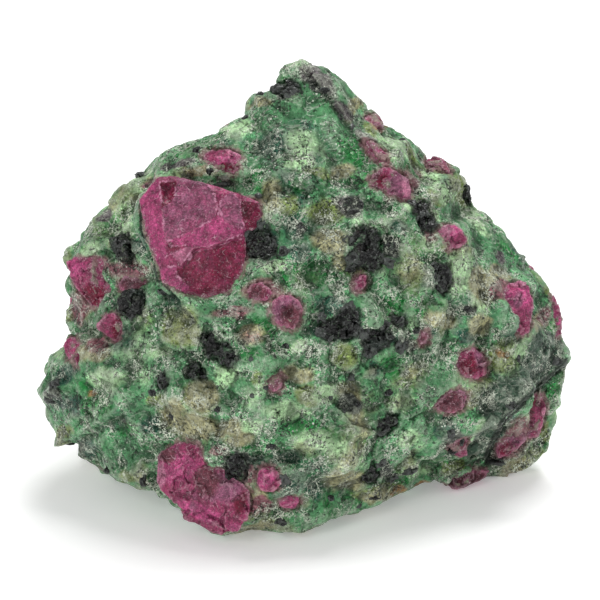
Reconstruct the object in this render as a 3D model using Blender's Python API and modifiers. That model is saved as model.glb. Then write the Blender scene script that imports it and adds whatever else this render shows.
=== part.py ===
"""Ruby in zoisite: a rough piece of green zoisite rock with ruby crystals and black hornblende grown into it.

The finished part is in metres, +Z up, and rests on the flat it was broken off on, at z = 0. Sizes below are in
millimetres. Run it with blender --background --python part.py, or from Blender's text editor.
"""

import math
import random

import bmesh
import bpy
import numpy as np
from mathutils import Matrix, Vector, kdtree
from mathutils.bvhtree import BVHTree

MM = 0.001

# The stone is laid out in views: "across" runs to the viewer's right and "up" to the top of the view, both in
# millimetres from MIDDLE, and "depth" runs away from the viewer, who stands VIEW_DISTANCE from MIDDLE.
MIDDLE = Vector((-0.3, -0.2, 21.7))
VIEW_DISTANCE = 400.0
VIEW_ANGLES = {  # azimuth round the stone from its front, and height above the horizon, in degrees
    "front": (0, 20),
    "right": (80, 15),
    "back": (180, 20),
    "left": (-85, 10),
    "top": (150, 60),
}

CRYSTAL_GAP = 0.3  # between a crystal and the rock round it
BASE_CLEARANCE = 0.8  # between a crystal and the plane that the stone rests on
SOCKET_HEIGHT = 3.0  # how far over a crystal's seat the rock is cleared
LARGEST_REACH = 14.0  # from a crystal's middle to any part of it
SLIVER = 0.05  # edges and faces narrower than this are closed up
GRAIN = 0.85  # spacing of the points that the rough surface is worked on
ROCK_FACES = 4300

# Corners of the broken block: across, up and depth in the front view.
BLOCK_CORNERS = [
    # the peak and the ridges that run down from it
    (-0.5, 26.9, -9.5), (-2.5, 26.2, -9.5), (4.5, 25.0, -6.0), (7.8, 21.5, -5.0), (10.8, 18.9, -3.0),
    (-6.1, 22.6, -8.0), (-11.1, 18.0, -7.0), (-14.9, 16.6, -6.0), (-17.7, 13.8, -5.0),
    # the left end, down to its overhang
    (-20.5, 11.9, -3.0), (-23.7, 8.7, -1.0), (-26.8, 4.7, 1.0), (-29.0, -8.0, 1.0), (-29.5, -10.7, 2.0),
    (-27.6, -15.9, 2.0), (-24.4, -17.3, 0.0), (-20.5, -20.5, -3.5), (-15.0, -23.6, -7.0),
    # the foot, which the base is cut from
    (-8.5, -28.0, -10.0), (0.0, -28.2, -10.0), (9.0, -25.0, -2.0), (15.8, -23.4, 4.5), (21.1, -23.4, 5.2),
    (25.5, -19.5, 8.0), (27.6, -15.9, 6.0),
    # the right end
    (29.5, -10.7, 4.0), (29.6, -7.2, 3.0), (28.9, -2.5, 3.0), (28.0, 0.5, 3.0), (25.3, 4.5, 2.0),
    (22.4, 8.1, 1.5), (19.4, 11.3, 1.5), (17.5, 14.7, 0.5), (14.0, 16.5, -1.0),
    # the front: brow, face and foot
    (-12.4, 15.0, -11.5), (0.0, 11.3, -15.5), (10.3, 14.8, -11.5), (6.0, 18.9, -10.5), (12.7, 11.3, -12.5),
    (-11.3, -3.4, -16.5), (0.0, -5.6, -17.5), (11.3, 0.0, -14.5), (19.2, 5.6, -8.0),
    (-8.5, -20.3, -14.5), (0.0, -20.3, -15.0), (14.7, -20.3, -5.0), (18.6, -18.8, -2.5), (24.0, -12.0, -4.5),
    (27.7, -5.1, -2.0), (-21.5, 5.6, -8.5), (-22.6, -11.3, -9.0), (-26.9, -10.2, -4.0),
    # the back: broad faces either side of a blunt ridge
    (2.5, 20.0, 8.0), (-15.0, 11.5, 8.0), (15.0, 12.5, 7.5), (-22.5, -3.0, 16.0), (22.0, -1.0, 16.0),
    (4.0, 3.0, 21.5), (-18.5, -18.5, 21.0), (19.5, -18.0, 21.0), (3.0, -15.5, 28.0),
]

# Corners of the outline that the front view shows: across and up, from the spur at the right end counterclockwise.
OUTLINE = [
    (30.3, -6.9), (29.7, -2.8), (28.4, 1.4), (25.0, 5.4), (22.1, 9.2), (19.9, 10.8), (17.8, 15.4), (14.8, 16.1),
    (11.4, 19.2), (9.4, 19.9), (7.8, 22.2), (4.0, 25.4), (0.0, 27.2), (-2.1, 26.5), (-3.6, 24.2), (-6.4, 22.4),
    (-7.2, 20.7), (-9.8, 18.7), (-12.8, 17.9), (-16.0, 16.4), (-18.2, 13.9), (-20.8, 12.1), (-23.6, 9.7),
    (-26.8, 5.9), (-26.9, 4.3), (-25.6, 1.4), (-26.8, -1.1), (-26.6, -4.5), (-28.5, -5.9), (-30.0, -9.9),
    (-28.8, -12.4), (-27.8, -16.5), (-25.5, -16.7), (-22.7, -19.7), (-20.1, -21.0), (-17.0, -21.9),
    (-13.0, -24.3), (-9.0, -26.7), (-4.5, -26.5), (0.0, -26.1), (2.3, -25.4), (5.6, -24.3), (9.0, -22.9),
    (13.0, -21.3), (15.8, -20.6), (17.0, -21.2), (20.3, -20.7), (26.1, -19.3), (28.1, -17.0), (28.9, -14.7),
    (29.9, -10.2),
]

# Broad lumps and hollows: view, across, up, radius and height, which is negative for a hollow.
SWELLS = [
    ("front", -19.4, 2.8, 3.6, -1.6),  # the dark hollow beside the large ruby
    ("front", -23.9, 1.6, 3.0, 0.8),
    ("front", -10.8, 15.6, 3.6, 0.7),
    ("front", -13.2, -2.9, 3.0, 0.7),
    ("front", -27.0, -11.0, 3.6, 0.6),
    ("front", 25.6, -8.8, 2.6, 0.9),  # the ledge that runs down from the spur, and the hollow under it
    ("front", 22.0, -11.8, 2.6, 1.0),
    ("front", 18.4, -14.8, 2.6, 1.0),
    ("front", 15.6, -17.6, 2.4, 0.8),
    ("front", 28.2, -12.6, 2.4, -1.2),
    ("front", 25.2, -15.8, 3.2, -2.0),
    ("front", 21.6, -18.2, 3.0, -2.0),
    ("front", 18.2, -20.2, 2.2, -1.2),
    ("front", 3.4, -17.0, 4.4, 0.7),
    ("front", 10.6, -14.0, 3.2, 0.5),
    ("front", 16.8, 13.2, 3.0, 0.6),
    ("front", -2.6, 4.6, 3.6, -0.7),
    ("front", 6.6, 9.8, 3.2, -0.5),
    ("front", 1.4, -8.8, 3.2, -0.5),
    ("front", -15.8, -15.0, 3.6, -0.6),
    ("back", -9.0, 6.0, 6.0, -1.8),
    ("back", 10.0, -4.0, 7.0, 1.2),
    ("back", 3.0, 14.0, 5.0, -1.0),
    ("back", -14.0, -12.0, 5.0, 1.0),
    ("right", 4.0, 2.0, 5.0, -1.2),
    ("left", -3.0, -2.0, 5.0, -1.0),
    ("top", 2.0, 4.0, 5.0, -0.9),
]

# The grain of the break: cell size, how much each cell tilts, how much it stands in or out, and its seed.
BREAKS = [
    (6.0, 0.17, 0.34, 11),
    (3.0, 0.22, 0.22, 12),
]

# Where the rock parted more smoothly: view, across, up, radius and the share of the breaks that is missing.
SMOOTH_FACES = [
    ("front", -0.8, 19.5, 5.0, 0.8),  # the sloping face under the peak
    ("front", 1.5, 14.5, 4.0, 0.5),
    ("front", 22.0, 4.5, 4.0, 0.5),
    ("front", 24.5, -6.5, 3.5, 0.6),
    ("back", 4.0, 2.0, 9.0, 0.5),
    ("left", 2.0, -8.0, 5.0, 0.4),
]

COLOURS = {  # base colour, roughness
    "zoisite": ((0.105, 0.205, 0.125), 0.55),
    "ruby": ((0.250, 0.030, 0.085), 0.35),
    "hornblende": ((0.008, 0.010, 0.010), 0.30),
}

# Crystals that stand in the rock: name, view, across, up, width, height and turn in degrees.
RUBIES = [
    ("ruby_brow_left", "front", -9.7, 15.6, 6.2, 2.4, -4),
    ("ruby_left_flank", "front", -24.0, 2.0, 4.6, 5.4, 20),
    ("ruby_left_flank_inner", "front", -18.9, 2.6, 4.0, 2.6, 0),
    ("ruby_left_flank_lower", "front", -21.0, -3.4, 2.6, 3.0, 0),
    ("ruby_left_rim", "front", -25.2, -5.9, 2.6, 3.2, 30),
    ("ruby_front_round", "front", -1.6, -1.4, 3.5, 3.5, 0),
    ("ruby_front_small", "front", -2.9, -9.2, 1.9, 2.1, 0),
    ("ruby_below_large", "front", -4.6, 0.7, 2.6, 2.4, 30),
    ("ruby_foot_bead_upper", "front", -3.6, -20.2, 2.5, 2.5, 0),
    ("ruby_foot_bead_lower", "front", -1.2, -22.6, 2.4, 2.0, 0),
    ("ruby_band_streak", "front", 8.9, 16.6, 4.0, 1.3, -48),
    ("ruby_band", "front", 10.9, 12.9, 4.6, 3.0, -38),
    ("ruby_ridge_right", "front", 8.3, 20.3, 2.0, 1.5, -45),
    ("ruby_shoulder_right", "front", 15.5, 15.0, 2.7, 1.8, -20),
    ("ruby_upper_right", "front", 16.9, 7.2, 3.3, 2.7, -20),
    ("ruby_middle_small", "front", 6.6, 1.7, 1.6, 2.5, 15),
    ("ruby_centre_right_small", "front", 13.8, -4.2, 1.4, 1.8, 0),
    ("ruby_right_slope", "front", 24.3, -0.4, 3.5, 6.0, 12),
    ("ruby_right_edge", "front", 28.4, -1.6, 1.9, 3.6, 10),
    ("ruby_right_middle", "front", 19.3, -7.0, 3.7, 3.6, 0),
    ("ruby_right_middle_lower", "front", 17.1, -11.3, 3.6, 2.8, 10),
    ("ruby_right_low", "front", 18.0, -16.4, 2.1, 2.4, 0),
    ("ruby_under_ledge", "front", 24.0, -15.2, 3.4, 4.4, -25),
    ("ruby_ledge_edge", "front", 26.9, -12.2, 1.9, 4.2, -10),
    ("ruby_overhang", "front", 18.4, -19.7, 4.8, 2.2, 0),
    ("ruby_back_large", "back", -6.0, 3.0, 9.0, 7.5, 20),
    ("ruby_back_upper", "back", 6.0, 11.0, 4.5, 3.2, -30),
    ("ruby_back_low", "back", 9.0, -9.5, 5.5, 4.2, 15),
    ("ruby_back_rim", "back", -19.0, -4.0, 3.4, 5.0, 0),
    ("ruby_back_small", "back", 1.5, -16.0, 2.6, 2.4, 0),
    ("ruby_right_flank", "right", 12.5, -6.0, 4.6, 3.6, 10),
    ("ruby_left_end", "left", -6.0, -7.0, 4.2, 5.0, 0),
]

HORNBLENDES = [
    ("hornblende_peak", "front", -1.4, 23.4, 3.2, 1.9, -10),
    ("hornblende_beside_large_ruby", "front", -3.1, 6.4, 2.4, 3.2, 20),
    ("hornblende_middle_large", "front", 7.3, 5.6, 3.6, 4.5, 10),
    ("hornblende_upper_right", "front", 13.9, 9.4, 2.6, 3.6, 20),
    ("hornblende_right", "front", 15.7, 2.4, 2.5, 3.5, 0),
    ("hornblende_centre", "front", 4.5, -2.3, 4.4, 4.6, 10),
    ("hornblende_centre_right", "front", 8.8, -4.9, 3.6, 3.4, 0),
    ("hornblende_centre_small", "front", 11.0, -2.3, 1.7, 1.6, 0),
    ("hornblende_left_small", "front", -11.8, -8.1, 2.1, 1.7, 0),
    ("hornblende_left_smallest", "front", -15.5, -9.3, 1.5, 1.7, 0),
    ("hornblende_foot", "front", -7.2, -18.6, 2.6, 3.0, 0),
    ("hornblende_foot_right", "front", 7.6, -19.5, 1.9, 1.9, 0),
    ("hornblende_left_hollow", "front", -18.6, -0.2, 2.4, 2.2, 0),
    ("hornblende_back_upper", "back", -1.0, 14.5, 3.2, 2.6, 0),
    ("hornblende_back_middle", "back", 3.5, -1.5, 4.2, 3.6, 0),
    ("hornblende_back_low", "back", -7.5, -10.5, 3.4, 3.0, 0),
    ("hornblende_right_flank", "right", 9.0, 6.0, 2.8, 2.4, 0),
    ("hornblende_left_end", "left", 4.5, 5.0, 2.6, 2.6, 0),
]

# Crystals of more than one block: for each block, its outline in the front view and how far it stands out.
GROWN_TOGETHER = {
    "ruby_large": [
        (1.3, [(-18.1, 11.4), (-16.1, 13.9), (-14.2, 14.1), (-10.8, 13.2), (-6.8, 12.0), (-7.2, 8.4),
               (-11.5, 5.6), (-16.6, 4.2), (-17.9, 8.4)]),
        (0.7, [(-9.2, 12.6), (-6.6, 12.1), (-4.6, 11.0), (-4.1, 9.6), (-4.7, 8.1), (-6.4, 7.3), (-9.2, 8.6)]),
        (0.4, [(-16.9, 8.6), (-6.4, 9.0), (-5.9, 5.0), (-6.5, 3.1), (-7.9, 0.9), (-10.3, 0.0), (-12.9, 0.6),
               (-15.6, 2.0), (-16.0, 3.6)]),
    ],
    "ruby_foot": [
        (0.9, [(-16.2, -19.5), (-14.6, -17.4), (-12.4, -17.0), (-10.2, -18.4), (-10.4, -20.2), (-13.4, -22.4),
               (-15.3, -21.9)]),
        (1.1, [(-10.9, -19.3), (-8.9, -19.5), (-7.5, -21.4), (-5.9, -22.4), (-6.2, -25.0), (-8.4, -26.4),
               (-12.6, -24.9), (-13.6, -23.0), (-12.5, -20.6)]),
    ],
    "hornblende_left": [
        (0.5, [(-11.0, -3.8), (-9.6, -3.6), (-8.6, -4.6), (-8.8, -6.0), (-10.2, -6.3), (-11.0, -5.2)]),
        (0.7, [(-9.4, -4.9), (-7.9, -4.7), (-7.0, -5.7), (-7.2, -7.2), (-8.6, -7.6), (-9.6, -6.6)]),
    ],
    "hornblende_low_right": [
        (0.5, [(8.1, -13.2), (9.4, -12.7), (10.3, -13.6), (9.9, -15.1), (8.6, -15.2), (8.0, -14.2)]),
        (0.6, [(9.6, -13.0), (10.9, -13.1), (11.0, -14.6), (10.2, -15.4), (9.3, -14.8)]),
    ],
}

# How the two kinds of crystal stand in the rock: height over it, root below it, number of sides, share of rims
# that are chipped, and how far the top leans.
KINDS = {
    "ruby": {"stand": 0.6, "sunk": 2.4, "sides": 6, "chips": 0.7, "lean": 0.16},
    "hornblende": {"stand": 0.5, "sunk": 1.8, "sides": 6, "chips": 0.8, "lean": 0.2},
}


def clear_scene():
    for obj in list(bpy.data.objects):
        bpy.data.objects.remove(obj)


def axes(view):
    """The directions across, up and away of a view."""
    azimuth, height = (math.radians(angle) for angle in VIEW_ANGLES[view])
    towards = Vector((math.sin(azimuth) * math.cos(height), -math.cos(azimuth) * math.cos(height), math.sin(height)))
    across = Vector((math.cos(azimuth), math.sin(azimuth), 0.0))
    return across, towards.cross(across), -towards


def place(view, across, up, depth):
    """The point that a view shows at across and up, at a given depth."""
    right, top, away = axes(view)
    spread = 1 + depth / VIEW_DISTANCE
    return MIDDLE + (right * across + top * up) * spread + away * depth


def eye(view):
    return MIDDLE - axes(view)[2] * VIEW_DISTANCE


def new_object(name, bm):
    """An object from a bmesh, which is freed."""
    bmesh.ops.recalc_face_normals(bm, faces=bm.faces)
    mesh = bpy.data.meshes.new(name)
    bm.to_mesh(mesh)
    bm.free()
    obj = bpy.data.objects.new(name, mesh)
    bpy.context.scene.collection.objects.link(obj)
    return obj


def apply_modifiers(obj):
    """Gives the object the shape that its modifiers make, and takes them off."""
    graph = bpy.context.evaluated_depsgraph_get()
    shaped = bpy.data.meshes.new_from_object(obj.evaluated_get(graph))
    obj.modifiers.clear()
    old = obj.data
    obj.data = shaped
    shaped.name = obj.name
    bpy.data.meshes.remove(old)


def combine(obj, other, operation):
    """Joins the other object to the first one or cuts it from it. The other one is used up."""
    step = obj.modifiers.new(operation.lower(), "BOOLEAN")
    step.operation = operation
    step.object = other
    step.solver = "EXACT"
    apply_modifiers(obj)
    bpy.data.objects.remove(other)


def points_of(mesh):
    points = np.empty(len(mesh.vertices) * 3)
    mesh.vertices.foreach_get("co", points)
    return points.reshape(-1, 3)


def normals_of(mesh):
    normals = np.empty(len(mesh.vertices) * 3)
    mesh.vertex_normals.foreach_get("vector", normals)
    return normals.reshape(-1, 3)


def move_points(mesh, points):
    mesh.vertices.foreach_set("co", points.ravel())
    mesh.update()


# ---------------------------------------------------------------- the rock


def wear(rock, rounds):
    """Rounds the sharpest points and edges off."""
    worn = rock.modifiers.new("worn", "SMOOTH")
    worn.factor = 0.5
    worn.iterations = rounds
    apply_modifiers(rock)


def broken_block():
    """The convex block that the corners span, worked into an even net of points."""
    bm = bmesh.new()
    for corner in BLOCK_CORNERS:
        bm.verts.new(place("front", *corner))
    hull = bmesh.ops.convex_hull(bm, input=bm.verts)
    bmesh.ops.delete(bm, geom=hull["geom_interior"], context="VERTS")
    rock = new_object("zoisite_matrix", bm)
    net = rock.modifiers.new("net", "REMESH")
    net.mode = "VOXEL"
    net.voxel_size = GRAIN
    apply_modifiers(rock)
    return rock


def closeness(points, normals, view, across, up, radius):
    """1 at a place of a view and falling to 0 away from it, for the points that face the viewer."""
    right, top, away = (np.array(axis) for axis in axes(view))
    offset = points - np.array(MIDDLE)
    spread = 1 + offset @ away / VIEW_DISTANCE
    distance = np.hypot(offset @ right / spread - across, offset @ top / spread - up)
    facing = np.clip(normals @ -away * 3, 0, 1)
    return facing * np.exp(-((distance / radius) ** 2))


def add_swells(rock):
    """Raises the lumps and sinks the hollows along the rock's own surface."""
    points, normals = points_of(rock.data), normals_of(rock.data)
    height = np.zeros(len(points))
    for *place_and_radius, rise in SWELLS:
        height += rise * closeness(points, normals, *place_and_radius)
    move_points(rock.data, points + normals * height[:, None])


def add_breaks(rock):
    """Breaks the surface into small flat faces, each with its own tilt and level."""
    points, normals = points_of(rock.data), normals_of(rock.data)
    height = np.zeros(len(points))
    low, high = points.min(axis=0) - 5, points.max(axis=0) + 5
    for size, tilt, step, seed in BREAKS:
        rng = np.random.default_rng(seed)
        counts = np.ceil((high - low) / size).astype(int)
        cells = np.stack(np.meshgrid(*(np.arange(count) for count in counts), indexing="ij"), axis=-1)
        centres = low + (cells.reshape(-1, 3) + rng.random((cells.size // 3, 3))) * size
        tilts = rng.normal(size=centres.shape) * tilt
        levels = rng.normal(size=len(centres)) * step
        tree = kdtree.KDTree(len(centres))
        for index, centre in enumerate(centres):
            tree.insert(centre, index)
        tree.balance()
        nearest = np.array([tree.find(point)[1] for point in points])
        height += levels[nearest] + ((points - centres[nearest]) * tilts[nearest]).sum(axis=1)
    for *place_and_radius, missing in SMOOTH_FACES:
        height *= 1 - missing * closeness(points, normals, *place_and_radius)
    move_points(rock.data, points + normals * height[:, None])


def polar(across, up):
    return np.arctan2(up, across) % math.tau, np.hypot(across, up)


def around(angles, reaches, at):
    """The reach at each angle, between the given ones all the way round."""
    order = np.argsort(angles)
    return np.interp(at, angles[order], reaches[order], period=math.tau)


def fit_outline(rock, rays, rim_start, steps, most):
    """Draws the rim of the rock in or out, by at most a share a step, until the front view shows the outline."""
    right, top, away = (np.array(axis) for axis in axes("front"))
    wanted_angles, wanted = polar(*np.array(OUTLINE).T)
    for _ in range(steps):
        points = points_of(rock.data)
        offset = points - np.array(MIDDLE)
        spread = 1 + offset @ away / VIEW_DISTANCE
        angles, reaches = polar(offset @ right / spread, offset @ top / spread)
        ray = np.floor(angles / math.tau * rays).astype(int) % rays
        rim = np.zeros(rays)
        np.maximum.at(rim, ray, reaches)
        middles = (np.arange(rays) + 0.5) / rays * math.tau
        own = around(middles, rim, angles)
        growth = np.clip(around(wanted_angles, wanted, angles) / own - 1, -most, most)
        share = np.clip((reaches / own - rim_start) / (1 - rim_start), 0, 1)
        flat = offset - np.outer(offset @ away, away)
        points += flat * (growth * share**2 * (3 - 2 * share))[:, None]
        move_points(rock.data, points)


def thin_out(rock):
    """Takes the net down to the faces that the shape needs."""
    step = rock.modifiers.new("thin", "DECIMATE")
    step.ratio = ROCK_FACES / (2 * len(rock.data.polygons))
    step.use_collapse_triangulate = True
    apply_modifiers(rock)


def cut_base(rock):
    """Takes off what is below z = 0, which leaves the flat that the stone rests on."""
    depth = 30.0
    bm = bmesh.new()
    bmesh.ops.create_cube(bm, size=1.0, matrix=Matrix.Diagonal((200.0, 200.0, depth, 1.0)))
    bmesh.ops.translate(bm, verts=bm.verts, vec=(0, 0, -depth / 2))
    combine(rock, new_object("ground", bm), "DIFFERENCE")


# ---------------------------------------------------------------- the crystals


def cut_from_block(name, planes, centre, reach):
    """A convex solid: what is behind every plane, given as a point and an outward normal."""
    bm = bmesh.new()
    bmesh.ops.create_cube(bm, size=2 * reach)
    bmesh.ops.translate(bm, verts=bm.verts, vec=centre)
    for point, normal in planes:
        everything = bm.verts[:] + bm.edges[:] + bm.faces[:]
        bmesh.ops.bisect_plane(bm, geom=everything, dist=1e-5, plane_co=point, plane_no=normal, clear_outer=True)
        rim = [edge for edge in bm.edges if edge.is_boundary]
        if rim:
            bmesh.ops.edgeloop_fill(bm, edges=rim)
    bmesh.ops.remove_doubles(bm, verts=bm.verts, dist=0.03)
    return new_object(name, bm)


def seat(tree, view, outline):
    """The plane that fits the rock's surface inside an outline of a view: a point on it and its normal."""
    most_slant = math.cos(math.radians(62))
    right, top, away = axes(view)
    middle = sum((Vector(corner) for corner in outline), Vector((0, 0))) / len(outline)
    hits, normal = [], Vector()
    for share in (0.0, 0.45, 0.85):
        for corner in outline:
            spot = middle.lerp(Vector(corner), share)
            target = place(view, spot.x, spot.y, 0.0)
            hit, face_normal, _, _ = tree.ray_cast(eye(view), (target - eye(view)).normalized())
            if hit:
                hits.append(hit)
                normal += face_normal
    if not hits:
        raise ValueError(f"no rock at {tuple(middle)} in the {view} view")
    normal.normalize()
    facing = -normal.dot(away)
    if facing < most_slant:
        normal = (normal - away * (most_slant - facing)).normalized()
    return sum(hits, Vector()) / len(hits), normal


def on_plane(view, corner, point, normal):
    """Where the sight line of a view through (across, up) meets a plane."""
    start = eye(view)
    line = place(view, corner[0], corner[1], 0.0) - start
    return start + line * ((point - start).dot(normal) / line.dot(normal))


def crystal_planes(view, outline, point, normal, crystal, rng):
    """The faces of a crystal that stands in the rock: those of its sides and root, and those of its top."""
    taper = math.radians(8)
    corners = [on_plane(view, corner, point, normal) for corner in outline]
    centre = sum(corners, Vector()) / len(corners)
    sides = [(centre - normal * crystal["sunk"], -normal), (Vector((0, 0, BASE_CLEARANCE)), Vector((0, 0, -1)))]
    lean = Vector((rng.uniform(-1, 1), rng.uniform(-1, 1), rng.uniform(-1, 1))) * crystal["lean"]
    top = [(centre + normal * crystal["stand"], (normal + lean).normalized())]
    for here, there in zip(corners, corners[1:] + corners[:1]):
        side = (there - here).cross(normal).normalized()
        if side.dot(here - centre) < 0:
            side = -side
        sides.append((here, side * math.cos(taper) - normal * math.sin(taper)))
        slope = math.radians(rng.uniform(28, 50))
        if rng.random() < crystal["chips"]:
            chip = (here + there) / 2 + normal * rng.uniform(-0.1, 0.5) * crystal["stand"]
            top.append((chip, normal * math.cos(slope) + side * math.sin(slope)))
    return {"centre": centre, "normal": normal, "sides": sides, "top": top}


def rounded_outline(across, up, wide, tall, turn, sides, rng):
    """Corners round an ellipse, unevenly spaced."""
    outline = []
    for index in range(sides):
        angle = math.tau * (index + rng.uniform(-0.28, 0.28)) / sides
        reach = rng.uniform(0.9, 1.14) / 2
        x, y = wide * reach * math.cos(angle), tall * reach * math.sin(angle)
        across_turned = across + x * math.cos(turn) - y * math.sin(turn)
        outline.append((across_turned, up + x * math.sin(turn) + y * math.cos(turn)))
    return outline


def block_planes(tree, view, outline, crystal, rng):
    point, normal = seat(tree, view, outline)
    return crystal_planes(view, outline, point, normal, crystal, rng)


def solid(name, blocks, socket=False):
    """The union of a crystal's blocks or, as a socket, of the room that they need, open at the rock's surface."""
    whole = None
    for block in blocks:
        if socket:
            planes = [(point + normal * CRYSTAL_GAP, normal) for point, normal in block["sides"]]
            planes.append((block["centre"] + block["normal"] * SOCKET_HEIGHT, block["normal"]))
        else:
            planes = block["sides"] + block["top"]
        piece = cut_from_block(name, planes, block["centre"], LARGEST_REACH)
        if whole is None:
            whole = piece
        else:
            combine(whole, piece, "UNION")
    return whole


def crystal_blocks(tree):
    """For each crystal's name, the faces of each of its blocks."""
    found = {}
    for name, view, across, up, wide, tall, turn in RUBIES + HORNBLENDES:
        kind = KINDS[name.split("_")[0]]
        rng = random.Random(name)
        outline = rounded_outline(across, up, wide, tall, math.radians(turn), kind["sides"], rng)
        shape = dict(kind, sunk=min(kind["sunk"], 0.75 * max(wide, tall)))
        found[name] = [block_planes(tree, view, outline, shape, rng)]
    for name, blocks in GROWN_TOGETHER.items():
        kind = KINDS[name.split("_")[0]]
        rng = random.Random(name)
        for stand, outline in blocks:
            shape = dict(kind, stand=stand, sunk=kind["sunk"] + 0.4, lean=0.05)
            found.setdefault(name, []).append(block_planes(tree, "front", outline, shape, rng))
    return found


def clean(rock):
    """Keeps the largest connected part, without the loose splinters and the slivers that the sockets' cuts leave."""
    bm = bmesh.new()
    bm.from_mesh(rock.data)
    bmesh.ops.triangulate(bm, faces=bm.faces)
    bmesh.ops.dissolve_degenerate(bm, dist=SLIVER, edges=bm.edges)
    left, parts = set(bm.verts), []
    while left:
        part, edge = set(), [left.pop()]
        while edge:
            vert = edge.pop()
            part.add(vert)
            for line in vert.link_edges:
                other = line.other_vert(vert)
                if other in left:
                    left.discard(other)
                    edge.append(other)
        parts.append(part)
    largest = max(parts, key=len)
    loose = [vert for vert in bm.verts if vert not in largest]
    bmesh.ops.delete(bm, geom=loose, context="VERTS")
    bmesh.ops.triangulate(bm, faces=bm.faces)
    bm.to_mesh(rock.data)
    bm.free()


def material(kind):
    colour, roughness = COLOURS[kind]
    made = bpy.data.materials.new(kind)
    made.use_nodes = True
    shader = made.node_tree.nodes["Principled BSDF"]
    shader.inputs["Base Color"].default_value = (*colour, 1.0)
    shader.inputs["Roughness"].default_value = roughness
    shader.inputs["Metallic"].default_value = 0.0
    made.diffuse_color = (*colour, 1.0)
    return made


def finish(obj, made, stone):
    """Gives a finished piece its material, its size in metres and its place in the stone's collection."""
    obj.data.materials.clear()
    obj.data.materials.append(made)
    obj.data.transform(Matrix.Scale(MM, 4))
    obj.data.update()
    for held in list(obj.users_collection):
        held.objects.unlink(obj)
    stone.objects.link(obj)


def main():
    clear_scene()
    rock = broken_block()
    wear(rock, 3)
    add_swells(rock)
    add_breaks(rock)
    wear(rock, 2)
    fit_outline(rock, rays=150, rim_start=0.5, steps=4, most=0.2)
    thin_out(rock)
    fit_outline(rock, rays=90, rim_start=0.85, steps=2, most=0.015)
    cut_base(rock)

    surface = bmesh.new()
    surface.from_mesh(rock.data)
    blocks = crystal_blocks(BVHTree.FromBMesh(surface))
    surface.free()

    stone = bpy.data.collections.new("ruby_in_zoisite")
    bpy.context.scene.collection.children.link(stone)
    materials = {kind: material(kind) for kind in COLOURS}
    for name, crystal in blocks.items():
        combine(rock, solid(name + "_socket", crystal, socket=True), "DIFFERENCE")
        finish(solid(name, crystal), materials[name.split("_")[0]], stone)
    clean(rock)
    finish(rock, materials["zoisite"], stone)


main()
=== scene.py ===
"""Looks of the ruby in zoisite: the fine surface and colours of the rock, its rubies and its hornblende.

The rock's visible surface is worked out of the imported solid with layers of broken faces. The crystals are
worked out of theirs in the same way, and small grains are set into the rock. Lengths are in millimetres until
a piece is finished, when it is scaled to metres. Places in the photograph are pixels, x to the right and y
down.
"""

import functools
import itertools
import math
import random
from typing import NamedTuple

import bmesh
import bpy
import numpy as np
from mathutils import Matrix, Vector
from mathutils.bvhtree import BVHTree
from mathutils.geometry import delaunay_2d_cdt

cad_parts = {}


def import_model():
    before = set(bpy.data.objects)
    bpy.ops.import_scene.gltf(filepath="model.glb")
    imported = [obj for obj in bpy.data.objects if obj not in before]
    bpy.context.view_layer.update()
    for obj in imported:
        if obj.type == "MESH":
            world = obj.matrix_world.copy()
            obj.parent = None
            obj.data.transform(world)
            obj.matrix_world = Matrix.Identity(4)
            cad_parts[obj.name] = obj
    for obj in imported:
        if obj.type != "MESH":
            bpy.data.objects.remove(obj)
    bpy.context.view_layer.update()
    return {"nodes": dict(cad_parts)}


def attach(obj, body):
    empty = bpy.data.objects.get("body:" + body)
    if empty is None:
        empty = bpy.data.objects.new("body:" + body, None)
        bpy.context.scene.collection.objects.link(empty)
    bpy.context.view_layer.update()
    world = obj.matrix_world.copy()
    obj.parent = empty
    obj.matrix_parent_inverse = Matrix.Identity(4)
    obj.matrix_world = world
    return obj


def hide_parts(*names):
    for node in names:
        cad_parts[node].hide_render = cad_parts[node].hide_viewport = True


MM = 0.001

# The camera stands in front of the stone and looks slightly down on it.
IMAGE_SIZE = 600
PIXEL = 0.113  # millimetres that a pixel covers at the stone's middle
MIDDLE = Vector((-0.3, -0.2, 21.7))
CAMERA_DISTANCE = 400.0
CAMERA_TILT = math.radians(20)
SENSOR_WIDTH = 36.0
RIGHT = Vector((1, 0, 0))
UP = Vector((0, math.sin(CAMERA_TILT), math.cos(CAMERA_TILT)))
AWAY = Vector((0, math.cos(CAMERA_TILT), -math.sin(CAMERA_TILT)))
EYE = MIDDLE - AWAY * CAMERA_DISTANCE
FACING_SLOPE, FACING_START = 4, 0.4  # how a surface that turns away stops counting as the front

# The soft lights: place, size and power, in metres and watts.
LIGHTS = {"overhead": ((0.14, 0.3, 0.85), 0.45, 6.0), "front": ((-0.4, -0.8, 0.55), 0.4, 2.65)}
WORLD_LIGHT = 0.45
FLOOR_SIZE = 3.0
FLOOR_WHITE = 0.9
FLOOR_GLOW = 0.25

# Whole numbers that mix a cell's place and a seed into a random number.
AXIS_FACTORS = (73856093, 19349663, 83492791)
SEED_FACTOR = 40503
MIXERS = ((13, 1274126177), (15, 2246822519))
LAYERS_HEIGHT = 1.6  # how high three layers of noise usually reach together

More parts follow.
